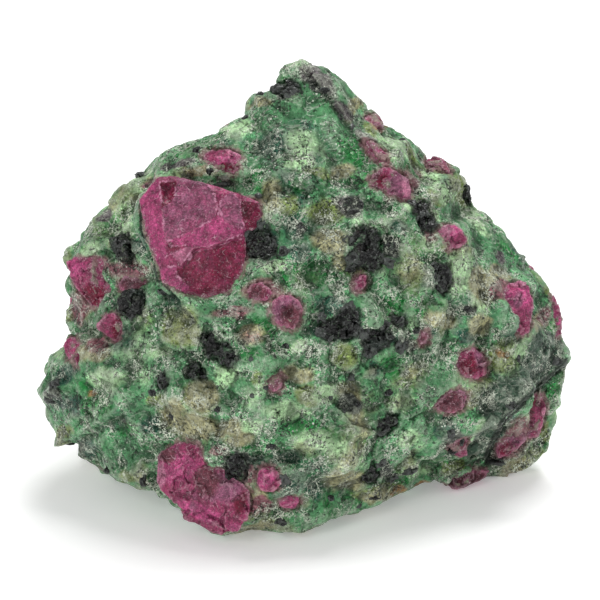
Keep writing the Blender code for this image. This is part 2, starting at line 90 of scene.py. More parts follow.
MERGE_DISTANCE = 0.005  # points of a solid that are nearer are one point
LEAST_AREA = 1e-4  # smaller faces don't say which way a point grows
LEAST_LEAN = 0.45  # keeps a sharp corner from growing far out
ROCK_NODE = "zoisite_matrix"
ROCK_NET = 0.24  # spacing of the points that the rock's surface is worked on
ROCK_ROUNDS = 22  # how often the net is smoothed
MOST_ROCK_FACES = 190_000
PLUG_DROP = 0.8  # how far under a crystal's top the rock closes again
PLUG_GROWTH = 0.45
COVER_DEPTH = 0.9  # how thick rock over a crystal's top may be and still be cleared away
COVER_MARGIN = 0.12
LEAST_COVER_TURN = 0.3  # how nearly that top has to face the rock's way: 1 is quite
MOST_SPIKE = 0.22  # how far a point of the rock may stand off its surroundings
SPIKE_ROUNDS, SPIKE_WIDTH = 3, 6  # how often spikes are worn down, and how wide those surroundings are
FLAKES = 0.08  # how much thin rock still lies over the crystals: 0 is half of it, and 1 is none
FLAKE_SIZE = 0.9
FLAKE_DEPTH = 0.3
BARE_CRYSTALS = (  # the crystals without flakes
    "ruby_large_crystal",
    "ruby_foot_crystal",
    "ruby_right_slope_crystal",
    "ruby_right_middle_crystal",
)

CREVICE_WIDTH = 0.28
# The rock's breaks: how far across each face is, how steeply it tilts and how far it steps out, a seed, and
# how deep the crevices between the faces are.
LARGE_BREAKS = (3.4, 0.07, 0.06, 31, 0.05)
MIDDLE_BREAKS = (1.5, 0.06, 0.06, 51, 0.03)
SMALL_BREAKS = (0.6, 0.08, 0.025, 71)
SMALL_BREAKS_LEFT = 0.4  # how much of the small breaks is there even where the rock is smooth
BREAK_HEIGHTS = (-0.5, 0.4)  # how far in and out the breaks may reach
WARP_SIZE, WARP_REACH = 1.3, 0.3  # how far apart the bends in the breaks' borders are, and how far they go
SWELL_SIZE, SWELL_HEIGHT = 1.6, 0.03  # the soft swells over the breaks
LEDGE_BEND_SIZE, LEDGE_BEND_REACH = 1.2, 2.0  # the bends in the ledges' lines: how far apart, and pixels
LEDGE_NARROWING = 6  # how much narrower a ledge's line of painted shade is than its reach
ROCK_RELIEF_ROUNDS, CRYSTAL_RELIEF_ROUNDS = 8, 6  # how wide the surroundings are that a point stands out of

CRYSTAL_NET = 0.16
CRYSTAL_ROUNDS = 2
CRYSTAL_GROWTH = 0.1
CRYSTAL_DROP = 0.3  # how far a crystal that isn't seen in front is sunk
SUNK_CRYSTALS = {"hornblende_right_flank": 0.75}  # the ones that are sunk further
CRYSTAL_STAND = -0.2  # how far a crystal's rim in front stands out of its solid's top
STEEPEST = 0.25  # how much deeper a crystal's top may lie from one pixel to the next
RAGGED_SIZE = 0.9
ROOT_DEPTH, ROOT_SHARE = 3.0, 0.75  # how deep a crystal's root goes, and how wide it is beside the top
# A crystal's flat top in front: its width beside the outline's, how far it is shifted towards a corner, how
# far its own corners are moved out, and how high they stand.
TOP_SHARE = 0.45
TOP_SHIFTS = (0.1, 0.35)
TOP_PULLS = (-0.35, 0.3)
TOP_HEIGHTS = (0.7, 1.2)

RIM_REACH = 0.6  # how far in from the rock a crystal is dusty
STAIN_REACH = 0.9  # how far out from a crystal the rock is stained
# Tones that are laid: how far apart the patches left to chance are, how many pixels the named patches'
# borders wander, and how much of the patches left to chance is there in front.
ROCK_SPREAD = (6.0, 7.0, 0.8)
RUBY_SPREAD = (2.0, 2.5, 0.6)
HORNBLENDE_SPREAD = (2.0, 2.0, 1.0)
PATCH_BORDER_SIZE = 1.5  # how far apart the bends in a named patch's border are
PATCH_EDGE = 1.5  # how far out a named patch ends, as a share of its half width and height
CHANCE_CONTRAST = 1.6  # how quickly a patch left to chance reaches its full tone
# The crystals' breaks, as the rock's.
RUBY_BREAKS = [(1.6, 0.16, 0.02, 11), (0.5, 0.06, 0.01, 12)]
HORNBLENDE_BREAKS = [(0.9, 0.3, 0.07, 21), (0.4, 0.2, 0.02, 22)]
LARGE_RUBY_BREAKS = [(1.3, 0.06, 0.015, 15), (0.5, 0.06, 0.01, 16)]
# How far a crystal's outline sways.
RUBY_RAGGED = 0.2
HORNBLENDE_RAGGED = 0.16
LARGE_RUBY_RAGGED = 0.03

LARGE_RUBY = "ruby_large"
LARGE_RUBY_NET = 0.14
LARGE_RUBY_ROUNDS = 1
RUBY_RIM = 19  # the first of its corners go round its rim
RUBY_LIFT = 0.55
RUBY_STAND_BETWEEN = 0.8  # how far out a point stands where two lines of breaks cross
RUBY_ROOT_DEPTH, RUBY_ROOT_SHARE = 7.0, 0.7
PLANE_BEND_SIZE, PLANE_BEND_REACH = 0.8, 1.2  # the bends in its planes' borders: how far apart, and pixels
PLANE_LIGHT_AND_TONE_SHARE = 0.62
SEAM_REACH = 1.6  # how many pixels a pale seam reaches from where two planes meet

SIDE_GRAINS = 48
SIDE_GRAIN_RADII = (0.3, 0.95)
SIDE_GRAIN_HEIGHTS = (-0.9, 0.95)  # how steeply down and up from the middle they may lie
OUTSIDE = 60.0  # further from the middle than the stone reaches
LEAST_SIDEWAYS = 0.12  # how far the rock turns away from the camera where they lie
GRAIN_ROOM = 1.2  # how far they stay from a crystal
LOWEST_GRAIN = 1.0
GRAIN_CLUSTERS = (1, 1, 2, 3)
GRAIN_BREAKS = (0.8, 0.5, 0.12, 8)
GRAIN_SPACING = 5  # how far apart the breaks of two grains are taken
LARGE_GRAIN = 0.45  # the radius from which a grain has a finer net
GRAIN_HEIGHT, GRAIN_DROP = 0.62, 0.32  # how high a grain is and how far it is sunk, as shares of its radius

# The pale strokes in the rock: the direction that they are drawn out in and how far, their size and width,
# where the noise that they follow is taken, how strong they are, and how much of them the smooth face has.
WISPS = [
    (RIGHT * 0.94 + UP * 0.34, 5.0, 0.55, 0.06, 120.0, 0.5, 0.85),
    (RIGHT * 0.3 - UP * 0.95, 3.0, 0.44, 0.045, 140.0, 0.4, 0.0),
    (RIGHT * 0.5 + AWAY * 0.86, 2.5, 0.6, 0.04, 155.0, 0.45, 0.0),
]
# Grit where grains meet: how far across the grains are, how far the grit reaches from their borders as a
# share of that, and where its noise is taken.
GRIT = [(1.7, 0.16, 210.0), (0.8, 0.2, 240.0)]
FINE_GRAINS = [(0.85, 0.74, 1.24), (0.36, 0.76, 1.26)]  # their size, and how dark and how bright they are
ZOISITE_FACETS = [(2.0, 0.5), (0.8, 0.6), (0.3, 0.2)]  # the size and the height of facets laid as bumps
GLINTS = [(0.42, 300.0), (0.3, 330.0)]  # how far apart the glints can be, and where they are taken
DULL_GLOSS, BLACK_GLOSS = 0.28, 0.42

# Colours as red, green and blue from 0 to 255, as a screen shows them.
SAGE = (86, 146, 98)
ZOISITE_TONES = {
    "teal": (36, 82, 64),
    "emerald": (36, 118, 56),
    "olive": (116, 134, 74),
    "mint": (174, 214, 160),
    "beige": (156, 154, 116),
    "grey": (84, 76, 80),
    "stained": (130, 84, 92),
    "peppered": (42, 46, 42),
    "slaty": (56, 80, 64),
    "rusty": (156, 116, 64),
}
# Dark gaps where grains meet, also laid as painted shade where the rock's relief lies low.
CREVICE_AND_SHADE = (24, 34, 26)
# Painted shade, in small hollows and along the ledges' grooves.
HOLLOW_SHADE = (26, 36, 28)
PEPPER = (30, 36, 32)
PALE_DUST = (206, 214, 194)
PALE_GRIT = (220, 228, 208)
STROKE, STROKE_SHADE = (218, 226, 208), (36, 48, 38)
GLINT = (232, 238, 222)
RUBY_STAIN = (150, 114, 116)
BLACK_STAIN = (26, 32, 28)

RUBY = (142, 58, 92)
RUBY_TONES = {
    "bright": (172, 72, 118),
    "deep": (106, 18, 48),
    "dusty": (138, 82, 108),
    "pale": (182, 112, 140),
    "brownish": (104, 54, 66),
    "shaded": (66, 18, 30),
}
# Dark ruby, also painted shade in its low relief, and the pale of raised edges: partly wear, partly painted
# highlight.
DARK_RUBY_AND_SHADE, WORN_RUBY_AND_HIGHLIGHT = (58, 22, 34), (214, 168, 182)
RUBY_DUST = (212, 176, 186)
RUBY_STROKE = (220, 184, 196)
RUBY_SEAM = (214, 150, 178)
RUBY_RIM_DUST = (152, 106, 122)
RIM_ROCK, RIM_GRIT = (128, 130, 108), (220, 208, 206)

HORNBLENDE = (9, 11, 11)
HORNBLENDE_TONES = {"greyish": (36, 40, 38), "greenish": (24, 36, 30), "brownish": (34, 24, 24)}
# Pale of raised points on the hornblende: partly wear, partly painted highlight.
WORN_BLACK_AND_HIGHLIGHT = (130, 136, 132)
# Pale flecks on the hornblende: partly grey specks of the mineral, partly painted glints.
BLACK_FLECK_AND_GLINT = (160, 168, 160)
GREEN_DUST = (86, 102, 84)
BLACK_RIM_DUST = (84, 100, 82)

# How much has each tone where no patch is named: 0 is half of it, and 1 is none.
ZOISITE_SHARES = {
    "teal": 0.30,
    "emerald": 0.34,
    "olive": 0.42,
    "mint": 0.36,
    "beige": 0.36,
    "grey": 0.62,
    "stained": 0.58,
    "peppered": 0.64,
    "slaty": 0.7,
    "rusty": 0.86,
}
RUBY_SHARES = {"bright": 0.3, "deep": 0.34, "dusty": 0.3, "pale": 0.62, "brownish": 0.46, "shaded": 0.7}
HORNBLENDE_SHARES = {"greyish": 0.52, "greenish": 0.48, "brownish": 0.62}

# Patches of the front: x, y, half its width, half its height and, where it is turned, how many degrees
# anticlockwise.
ZOISITE_PATCHES = {
    "mint": [
        (460, 268, 15, 30, -8), (318, 80, 18, 7, -40), (432, 182, 14, 9, -30), (482, 300, 12, 14),
        (390, 148, 18, 9, -42), (415, 205, 10, 8), (470, 215, 12, 8, -40), (445, 195, 9, 9),
        (408, 441, 14, 9), (480, 436, 9, 20, -25), (108, 378, 20, 12), (92, 250, 9, 7, 30),
        (226, 376, 14, 11), (120, 206, 9, 8), (124, 228, 9, 6), (402, 403, 15, 10, 30), (240, 128, 18, 7, 15),
        (430, 245, 12, 8), (250, 428, 15, 8), (287, 412, 24, 12), (314, 440, 20, 12), (345, 455, 22, 12, -20),
        (274, 268, 12, 8, 30), (300, 162, 18, 5), (160, 352, 12, 8), (430, 215, 9, 8), (480, 228, 12, 6, -40),
        (298, 345, 9, 8), (325, 395, 12, 9), (60, 348, 8, 12, -20), (415, 470, 16, 8),
    ],
    "emerald": [
        (305, 274, 36, 13, 5), (412, 167, 15, 9, -42), (400, 372, 28, 13, -25), (98, 404, 18, 14),
        (366, 445, 8, 10), (262, 328, 12, 10), (288, 345, 12, 8), (246, 446, 18, 7), (400, 308, 20, 10),
        (130, 430, 11, 8), (405, 475, 22, 9, 10), (258, 174, 12, 8), (262, 190, 11, 6), (88, 386, 12, 7),
        (548, 400, 6, 22, -10), (186, 150, 14, 6, 15), (84, 240, 16, 7, 38), (250, 355, 14, 8),
        (300, 185, 9, 9), (330, 180, 10, 8), (480, 215, 18, 8, -38), (505, 245, 18, 7, -50), (285, 78, 8, 5),
        (540, 455, 18, 12, 40), (320, 440, 40, 16, -20),
    ],
    "teal": [
        (132, 246, 20, 10), (128, 342, 20, 14), (330, 306, 20, 9), (310, 478, 20, 16), (322, 492, 16, 10),
        (446, 430, 12, 14), (286, 458, 18, 8), (256, 464, 16, 8), (466, 334, 12, 8), (374, 368, 10, 10),
        (428, 280, 22, 10), (66, 374, 14, 10, 30), (500, 432, 7, 24, -30), (130, 304, 20, 14),
        (265, 240, 12, 12), (300, 252, 12, 10), (512, 248, 20, 6, -42), (510, 400, 14, 8, 40),
        (150, 425, 12, 8), (350, 318, 12, 8), (340, 330, 30, 10), (85, 450, 10, 16, 30), (232, 150, 10, 6),
        (190, 500, 10, 6), (395, 225, 18, 8, -30), (395, 335, 16, 8),
    ],
    "olive": [
        (180, 328, 21, 20), (345, 356, 14, 14), (506, 358, 18, 18), (484, 386, 14, 10),
        (462, 188, 13, 20, 35), (440, 196, 12, 10), (372, 132, 12, 6, -40), (326, 212, 20, 12),
        (130, 478, 13, 7), (155, 400, 10, 8), (452, 467, 12, 7, 20), (516, 466, 20, 8), (65, 256, 7, 9, 30),
        (69, 314, 5, 9), (256, 378, 8, 7), (308, 394, 14, 10), (290, 205, 12, 12), (195, 398, 12, 14),
        (450, 250, 10, 6), (552, 292, 6, 6), (65, 432, 7, 8), (248, 512, 14, 8), (318, 172, 16, 6),
        (375, 490, 26, 6, 10), (100, 190, 8, 6, 40), (545, 430, 6, 14, -20),
    ],
    "beige": [
        (196, 426, 24, 14), (172, 414, 14, 14), (202, 396, 16, 18), (482, 286, 15, 20),
        (500, 274, 14, 9, -20), (262, 290, 22, 10), (256, 103, 16, 6, 25), (352, 110, 6, 16, -30),
        (345, 172, 14, 9), (272, 196, 12, 16), (345, 480, 22, 12), (380, 494, 22, 7, 10), (240, 440, 14, 8),
        (92, 352, 18, 10), (440, 320, 18, 9), (470, 398, 14, 10), (200, 172, 16, 5, -10), (330, 240, 20, 14),
        (480, 325, 12, 10), (84, 306, 9, 16), (250, 335, 16, 10), (300, 375, 18, 10), (225, 430, 16, 10),
        (255, 500, 14, 12), (150, 182, 10, 6, 40), (540, 320, 7, 12), (350, 395, 16, 14), (340, 260, 8, 14),
    ],
    "grey": [
        (318, 80, 26, 10, -45), (341, 110, 18, 7, -55), (366, 142, 20, 6, -45), (310, 68, 14, 5, -20),
        (176, 164, 20, 4, 10), (104, 216, 12, 5, 20), (345, 205, 14, 10), (550, 346, 8, 10),
        (500, 258, 10, 4, -45),
    ],
    "stained": [
        (94, 344, 12, 10), (80, 306, 10, 20), (128, 268, 24, 9), (100, 262, 12, 9), (498, 290, 9, 10),
        (262, 288, 20, 8), (262, 505, 12, 9), (248, 474, 9, 9), (150, 184, 9, 5, 40), (356, 284, 8, 9),
        (378, 156, 26, 5, -42), (456, 446, 12, 9), (518, 436, 16, 20, -30), (432, 238, 7, 8),
        (222, 126, 8, 3, 35), (218, 450, 12, 6), (232, 312, 22, 6), (430, 166, 8, 6), (545, 316, 8, 12),
        (410, 180, 10, 14, 30),
    ],
    "peppered": [
        (354, 206, 12, 11), (392, 248, 12, 12), (350, 404, 15, 12), (260, 248, 15, 14), (376, 340, 16, 14),
        (135, 298, 12, 12), (404, 345, 10, 8), (52, 392, 8, 12), (240, 464, 11, 11), (456, 440, 9, 12),
        (388, 472, 9, 10), (498, 456, 14, 6, 20), (286, 90, 14, 8, 15), (226, 182, 12, 4, -20),
        (470, 310, 8, 6), (315, 85, 8, 6, -40), (330, 325, 14, 6), (300, 228, 8, 8),
    ],
    "slaty": [
        (552, 352, 12, 20, 10), (534, 368, 18, 18, 40), (512, 392, 18, 26, -45), (470, 452, 10, 10),
        (496, 416, 15, 20, -30), (484, 440, 11, 20, -15), (540, 345, 12, 16), (495, 402, 24, 20, 10),
    ],
    "rusty": [
        (428, 487, 12, 4, 8), (398, 490, 8, 4, 8), (502, 352, 6, 4), (92, 394, 6, 3), (378, 126, 8, 4, -40),
        (268, 298, 6, 5),
    ],
}
RUBY_PATCHES = {
    "bright": [
        (151, 212, 9, 30, 8), (214, 234, 30, 8, 14), (238, 222, 9, 8), (206, 189, 20, 4, -12),
        (228, 160, 14, 5), (178, 468, 22, 14, 20), (200, 512, 26, 8, -20), (236, 528, 10, 4),
        (74, 268, 14, 9), (508, 308, 7, 22, 12), (526, 296, 8, 12), (267, 478, 10, 10), (290, 500, 10, 9),
        (396, 188, 16, 8, -35), (556, 326, 6, 14, 10), (450, 230, 12, 8), (205, 256, 8, 30, 60),
    ],
    "deep": [
        (212, 268, 32, 15, 10), (167, 192, 6, 12), (180, 247, 13, 5, 5), (98, 296, 18, 11, -20),
        (118, 330, 8, 13), (382, 181, 11, 8), (228, 168, 12, 6), (240, 500, 9, 14), (374, 116, 8, 9),
        (536, 398, 8, 9), (470, 366, 12, 10), (440, 408, 9, 7), (505, 446, 9, 9), (82, 362, 6, 5),
        (440, 168, 12, 6),
    ],
    "dusty": [
        (190, 206, 22, 22), (228, 208, 9, 11), (252, 212, 9, 14), (287, 310, 15, 15), (222, 488, 20, 16),
        (482, 356, 8, 12), (518, 430, 14, 16), (130, 282, 12, 8), (456, 396, 12, 9), (274, 381, 10, 10),
        (423, 336, 8, 9), (518, 300, 6, 8), (400, 185, 14, 14),
    ],
    "pale": [
        (178, 258, 9, 3, 15), (208, 233, 10, 3, 22), (408, 190, 5, 12, 25), (160, 476, 5, 12),
        (92, 318, 6, 10), (516, 282, 12, 6, -20), (445, 232, 5, 8), (238, 152, 8, 4),
    ],
    "brownish": [
        (488, 360, 8, 14), (450, 402, 16, 12), (524, 422, 8, 20, -20), (292, 316, 12, 12), (274, 381, 8, 8),
        (423, 336, 8, 8), (208, 482, 14, 16), (132, 284, 14, 8), (256, 292, 12, 8), (460, 444, 8, 8),
        (168, 456, 10, 8), (372, 172, 10, 6, -40), (438, 172, 12, 6, -20),
    ],
    "shaded": [
        (465, 480, 26, 9, 6), (250, 214, 5, 14, -20), (288, 313, 5, 5), (520, 414, 8, 8), (150, 268, 8, 9),
    ],
}
HORNBLENDE_PATCHES = {
    "greyish": [(368, 473, 4, 3)],
    "greenish": [(380, 345, 14, 6)],
    "brownish": [],
}

# Smooth places: x, y, radius and the share of the breaks that is missing there.
SMOOTH_PLACES = [
    (312, 112, 34, 0.95), (330, 134, 30, 0.95), (350, 158, 20, 0.9), (280, 125, 24, 0.7), (500, 255, 26, 0.5),
    (512, 380, 24, 0.55), (320, 430, 40, 0.4), (183, 326, 18, 0.6), (400, 400, 18, 0.5), (460, 268, 14, 0.5),
]

# Ledges and grooves in front: a line of pixels, how high its left side stands in millimetres as the line
# runs, how far that reaches in pixels, and how dark the painted shade along the line is.
LEDGES = [
    ([(567, 361), (548, 378), (530, 395), (517, 408), (505, 420), (495, 438), (486, 457)], -0.55, 26, 0.9),
    ([(486, 457), (474, 462), (463, 462)], -0.4, 12, 0.8),
    ([(388, 400), (390, 416), (404, 421), (424, 412), (441, 396)], 0.3, 14, 0.3),
    ([(300, 64), (326, 92), (348, 124), (372, 152), (398, 186)], 0.3, 14, 0.35),
    ([(330, 342), (332, 362), (344, 372), (358, 368), (364, 352)], 0.25, 10, 0.6),
    ([(157, 316), (160, 340), (176, 352), (198, 350), (203, 330)], 0.25, 12, 0.5),
    ([(376, 474), (374, 452), (380, 436), (396, 424)], -0.3, 12, 0.4),
    ([(338, 408), (352, 424), (372, 430)], -0.25, 12, 0.35),
    ([(140, 205), (142, 232), (150, 254), (158, 280), (176, 296)], 0.35, 12, 0.8),
    ([(262, 196), (270, 214), (264, 232)], -0.2, 10, 0.5),
    ([(446, 292), (452, 262), (462, 244), (476, 250), (476, 292)], -0.25, 10, 0.4),
    ([(296, 388), (320, 396), (340, 408)], -0.2, 14, 0.15),
    ([(64, 262), (84, 258), (104, 250), (128, 252)], 0.25, 12, 0.5),
    ([(425, 262), (440, 262), (452, 256)], -0.2, 10, 0.6),
    ([(268, 180), (262, 196), (254, 200)], -0.2, 10, 0.5),
    ([(436, 486), (452, 474), (468, 462)], 0.3, 10, 0.7),
]

# Places where the rock's outline is drawn over: x, y, how far the pull reaches, and how far right and down it
# goes, in pixels.
PULLS = [(92, 438, 15, -10, 6), (262, 94, 9, -7, -2)]

# Small grains of hornblende on the front: x, y, half its width and half its height.
FRONT_GRAINS = [
    (284, 251, 6, 5), (221, 184, 10, 4), (209, 172, 5, 4), (392, 246, 7, 5), (390, 264, 9, 6),
    (154, 393, 6, 5), (283, 481, 7, 9), (271, 445, 5, 5), (382, 461, 6, 8), (392, 477, 6, 6),
    (281, 522, 6, 4), (261, 95, 5, 4), (246, 118, 5, 3.5), (348, 202, 5, 5), (360, 204, 4, 5),
    (354, 212, 6, 3), (518, 359, 3, 5), (512, 405, 6, 5), (498, 462, 11, 5), (450, 432, 5, 7),
    (462, 440, 3, 6), (452, 452, 5, 4), (55, 384, 6, 5), (50, 400, 7, 5), (163, 292, 5, 4), (351, 376, 6, 5),
    (143, 481, 4, 6), (108, 470, 4, 4), (70, 443, 7, 3), (172, 416, 4, 4), (217, 409, 4, 4), (389, 392, 4, 4),
    (251, 359, 3, 3), (286, 345, 4, 4), (400, 350, 6, 5), (416, 330, 4, 4), (300, 226, 4, 4),
    (196, 150, 4, 4), (402, 140, 4, 3), (340, 118, 3, 5), (353, 126, 3, 4), (468, 308, 5, 4),
    (330, 398, 3, 3), (356, 404, 4, 4), (344, 412, 3, 3), (265, 388, 4, 3), (252, 396, 3, 2.5),
    (436, 278, 5, 5), (330, 497, 4, 4), (358, 506, 4, 3), (374, 498, 6, 3), (325, 90, 5, 3), (258, 196, 4, 3),
    (557, 362, 6, 5), (352, 258, 8, 8), (372, 266, 7, 5), (350, 268, 6, 5), (350, 240, 7, 7),
    (324, 333, 10, 6), (336, 336, 8, 5), (349, 310, 7, 8), (362, 332, 8, 7), (384, 326, 6, 5),
    (370, 352, 8, 6), (402, 346, 7, 6), (390, 334, 6, 5), (322, 318, 7, 6), (276, 90, 8, 6), (290, 92, 8, 6),
    (412, 204, 6, 5), (420, 214, 8, 8), (431, 226, 6, 6), (248, 238, 7, 9), (262, 226, 6, 6),
    (270, 244, 6, 6), (254, 254, 6, 4), (441, 290, 5, 5), (433, 266, 6, 4),
]

# The crystals' outlines as the front shows them: corners in pixels.
OUTLINES = {
    "ruby_brow_left": [
        (203, 158), (208, 151), (222, 149), (238, 151), (243, 158), (240, 168), (233, 174), (224, 173),
        (214, 167), (204, 164),
    ],
    "ruby_left_flank": [
        (66, 262), (74, 256), (90, 254), (104, 258), (109, 265), (104, 272), (112, 284), (116, 296),
        (112, 306), (102, 311), (92, 306), (84, 296), (76, 286), (70, 276),
    ],
    "ruby_left_flank_inner": [
        (118, 284), (124, 277), (136, 275), (146, 279), (150, 286), (144, 292), (130, 294), (120, 291),
    ],
    "ruby_left_flank_lower": [
        (98, 324), (105, 315), (115, 313), (124, 318), (128, 328), (124, 338), (116, 343), (106, 336),
        (98, 330),
    ],
    "ruby_left_rim": [
        (63, 345), (68, 338), (76, 338), (82, 346), (80, 352), (87, 358), (85, 366), (76, 366), (68, 358),
        (64, 352),
    ],
    "ruby_front_round": [
        (270, 312), (273, 302), (280, 296), (290, 295), (298, 301), (302, 311), (299, 322), (293, 329),
        (284, 329), (275, 323),
    ],
    "ruby_front_small": [
        (266, 382), (269, 374), (277, 371), (284, 377), (282, 387), (274, 391), (267, 389),
    ],
    "ruby_below_large": [
        (246, 292), (250, 285), (260, 282), (270, 286), (273, 294), (266, 301), (254, 302), (247, 298),
    ],
    "ruby_foot": [
        (157, 470), (159, 455), (168, 447), (182, 441), (196, 444), (206, 455), (214, 465), (226, 470),
        (238, 480), (248, 490), (252, 505), (247, 520), (240, 531), (222, 535), (208, 530), (196, 524),
        (184, 520), (180, 508), (172, 500), (162, 492), (157, 482),
    ],
    "ruby_foot_bead_upper": [
        (257, 475), (261, 468), (272, 466), (280, 473), (281, 484), (273, 491), (262, 490), (257, 483),
    ],
    "ruby_foot_bead_lower": [
        (278, 500), (282, 492), (292, 490), (300, 495), (300, 503), (294, 509), (284, 509), (279, 505),
    ],
    "ruby_band": [
        (371, 185), (372, 176), (382, 167), (390, 166), (400, 173), (409, 182), (413, 192), (409, 202),
        (403, 204), (396, 197), (386, 193), (376, 190),
    ],
    "ruby_upper_right": [
        (436, 232), (443, 225), (454, 224), (462, 230), (466, 240), (460, 248), (450, 250), (441, 242),
    ],
    "ruby_right_slope": [
        (502, 291), (507, 283), (520, 280), (530, 288), (533, 301), (532, 318), (530, 331), (522, 336),
        (512, 333), (506, 321), (503, 306),
    ],
    "ruby_right_middle": [
        (455, 363), (460, 352), (472, 348), (482, 352), (488, 362), (486, 374), (476, 380), (464, 377),
        (456, 370),
    ],
    "ruby_right_middle_lower": [
        (434, 405), (441, 396), (451, 388), (462, 390), (467, 398), (462, 408), (452, 414), (441, 412),
    ],
    "ruby_ledge_edge": [
        (530, 396), (536, 391), (543, 394), (546, 408), (544, 424), (538, 436), (529, 438), (524, 431),
        (528, 418), (528, 406),
    ],
    "ruby_under_ledge": [
        (496, 450), (500, 441), (510, 436), (522, 430), (526, 438), (518, 448), (508, 456), (498, 458),
    ],
    "ruby_overhang": [
        (438, 481), (446, 475), (458, 471), (474, 471), (490, 470), (484, 478), (472, 484), (458, 489),
        (446, 487),
    ],
    "ruby_right_edge": [
        (544, 316), (547, 301), (553, 295), (559, 306), (562, 322), (562, 335), (556, 338), (549, 328),
    ],
    "ruby_centre_right_small": [
        (417, 340), (419, 332), (425, 329), (430, 335), (427, 343), (421, 346),
    ],
    "ruby_middle_small": [
        (353, 290), (355, 279), (361, 272), (367, 277), (364, 289), (358, 296),
    ],
    "hornblende_centre": [
        (320, 334), (322, 325), (333, 320), (340, 312), (350, 305), (358, 312), (360, 324), (356, 334),
        (346, 340), (336, 338), (328, 342),
    ],
    "hornblende_centre_right": [
        (360, 334), (366, 328), (378, 330), (388, 328), (391, 338), (385, 346), (376, 352), (368, 356),
        (362, 350), (364, 342),
    ],
    "hornblende_middle_large": [
        (349, 243), (355, 232), (364, 227), (375, 230), (381, 238), (378, 248), (383, 257), (380, 267),
        (370, 270), (360, 266), (350, 269), (345, 258), (350, 250),
    ],
    "hornblende_upper_right": [
        (413, 206), (420, 201), (428, 203), (426, 212), (433, 218), (437, 226), (430, 233), (420, 234),
        (414, 228), (416, 218), (412, 212),
    ],
    "hornblende_right": [
        (429, 269), (438, 263), (448, 265), (451, 276), (448, 290), (438, 293), (431, 286), (436, 278),
        (430, 275),
    ],
    "hornblende_beside_large_ruby": [
        (246, 240), (251, 230), (262, 226), (269, 232), (273, 242), (277, 250), (270, 257), (258, 259),
        (249, 254),
    ],
    "hornblende_left": [
        (203, 337), (210, 331), (217, 333), (219, 341), (228, 340), (234, 350), (238, 358), (230, 367),
        (222, 364), (218, 357), (210, 358), (205, 350),
    ],
    "hornblende_left_small": [
        (187, 372), (190, 364), (198, 363), (205, 369), (206, 377), (198, 381), (190, 379),
    ],
    "hornblende_left_smallest": [
        (158, 381), (161, 374), (168, 375), (171, 382), (168, 389), (160, 388),
    ],
    "hornblende_low_right": [
        (374, 425), (380, 420), (387, 414), (396, 415), (398, 422), (391, 426), (388, 432), (380, 436),
        (375, 432),
    ],
    "hornblende_foot": [
        (225, 470), (228, 458), (236, 453), (244, 456), (247, 466), (251, 474), (244, 482), (234, 484),
        (227, 480),
    ],
    "hornblende_foot_right": [
        (359, 474), (363, 466), (370, 464), (376, 469), (377, 477), (371, 482), (363, 481),
    ],
    "hornblende_left_hollow": [
        (116, 300), (122, 291), (134, 289), (147, 294), (152, 306), (144, 316), (130, 319), (118, 312),
    ],
    "hornblende_peak": [
        (272, 92), (278, 85), (288, 82), (298, 84), (300, 92), (292, 98), (280, 99),
    ],
    "hornblende_centre_small": [
        (390, 321), (393, 315), (400, 315), (405, 320), (402, 327), (394, 327),
    ],
}

# How much further a crystal's middle stands out than its rim.
RAISED = {
    "ruby_foot": 0.8, "ruby_left_flank": 0.5, "ruby_right_slope": 0.4, "ruby_foot_bead_upper": 0.6,
    "ruby_foot_bead_lower": 0.6, "ruby_right_middle": 0.5,
}
RAISED_USUALLY = 0.25

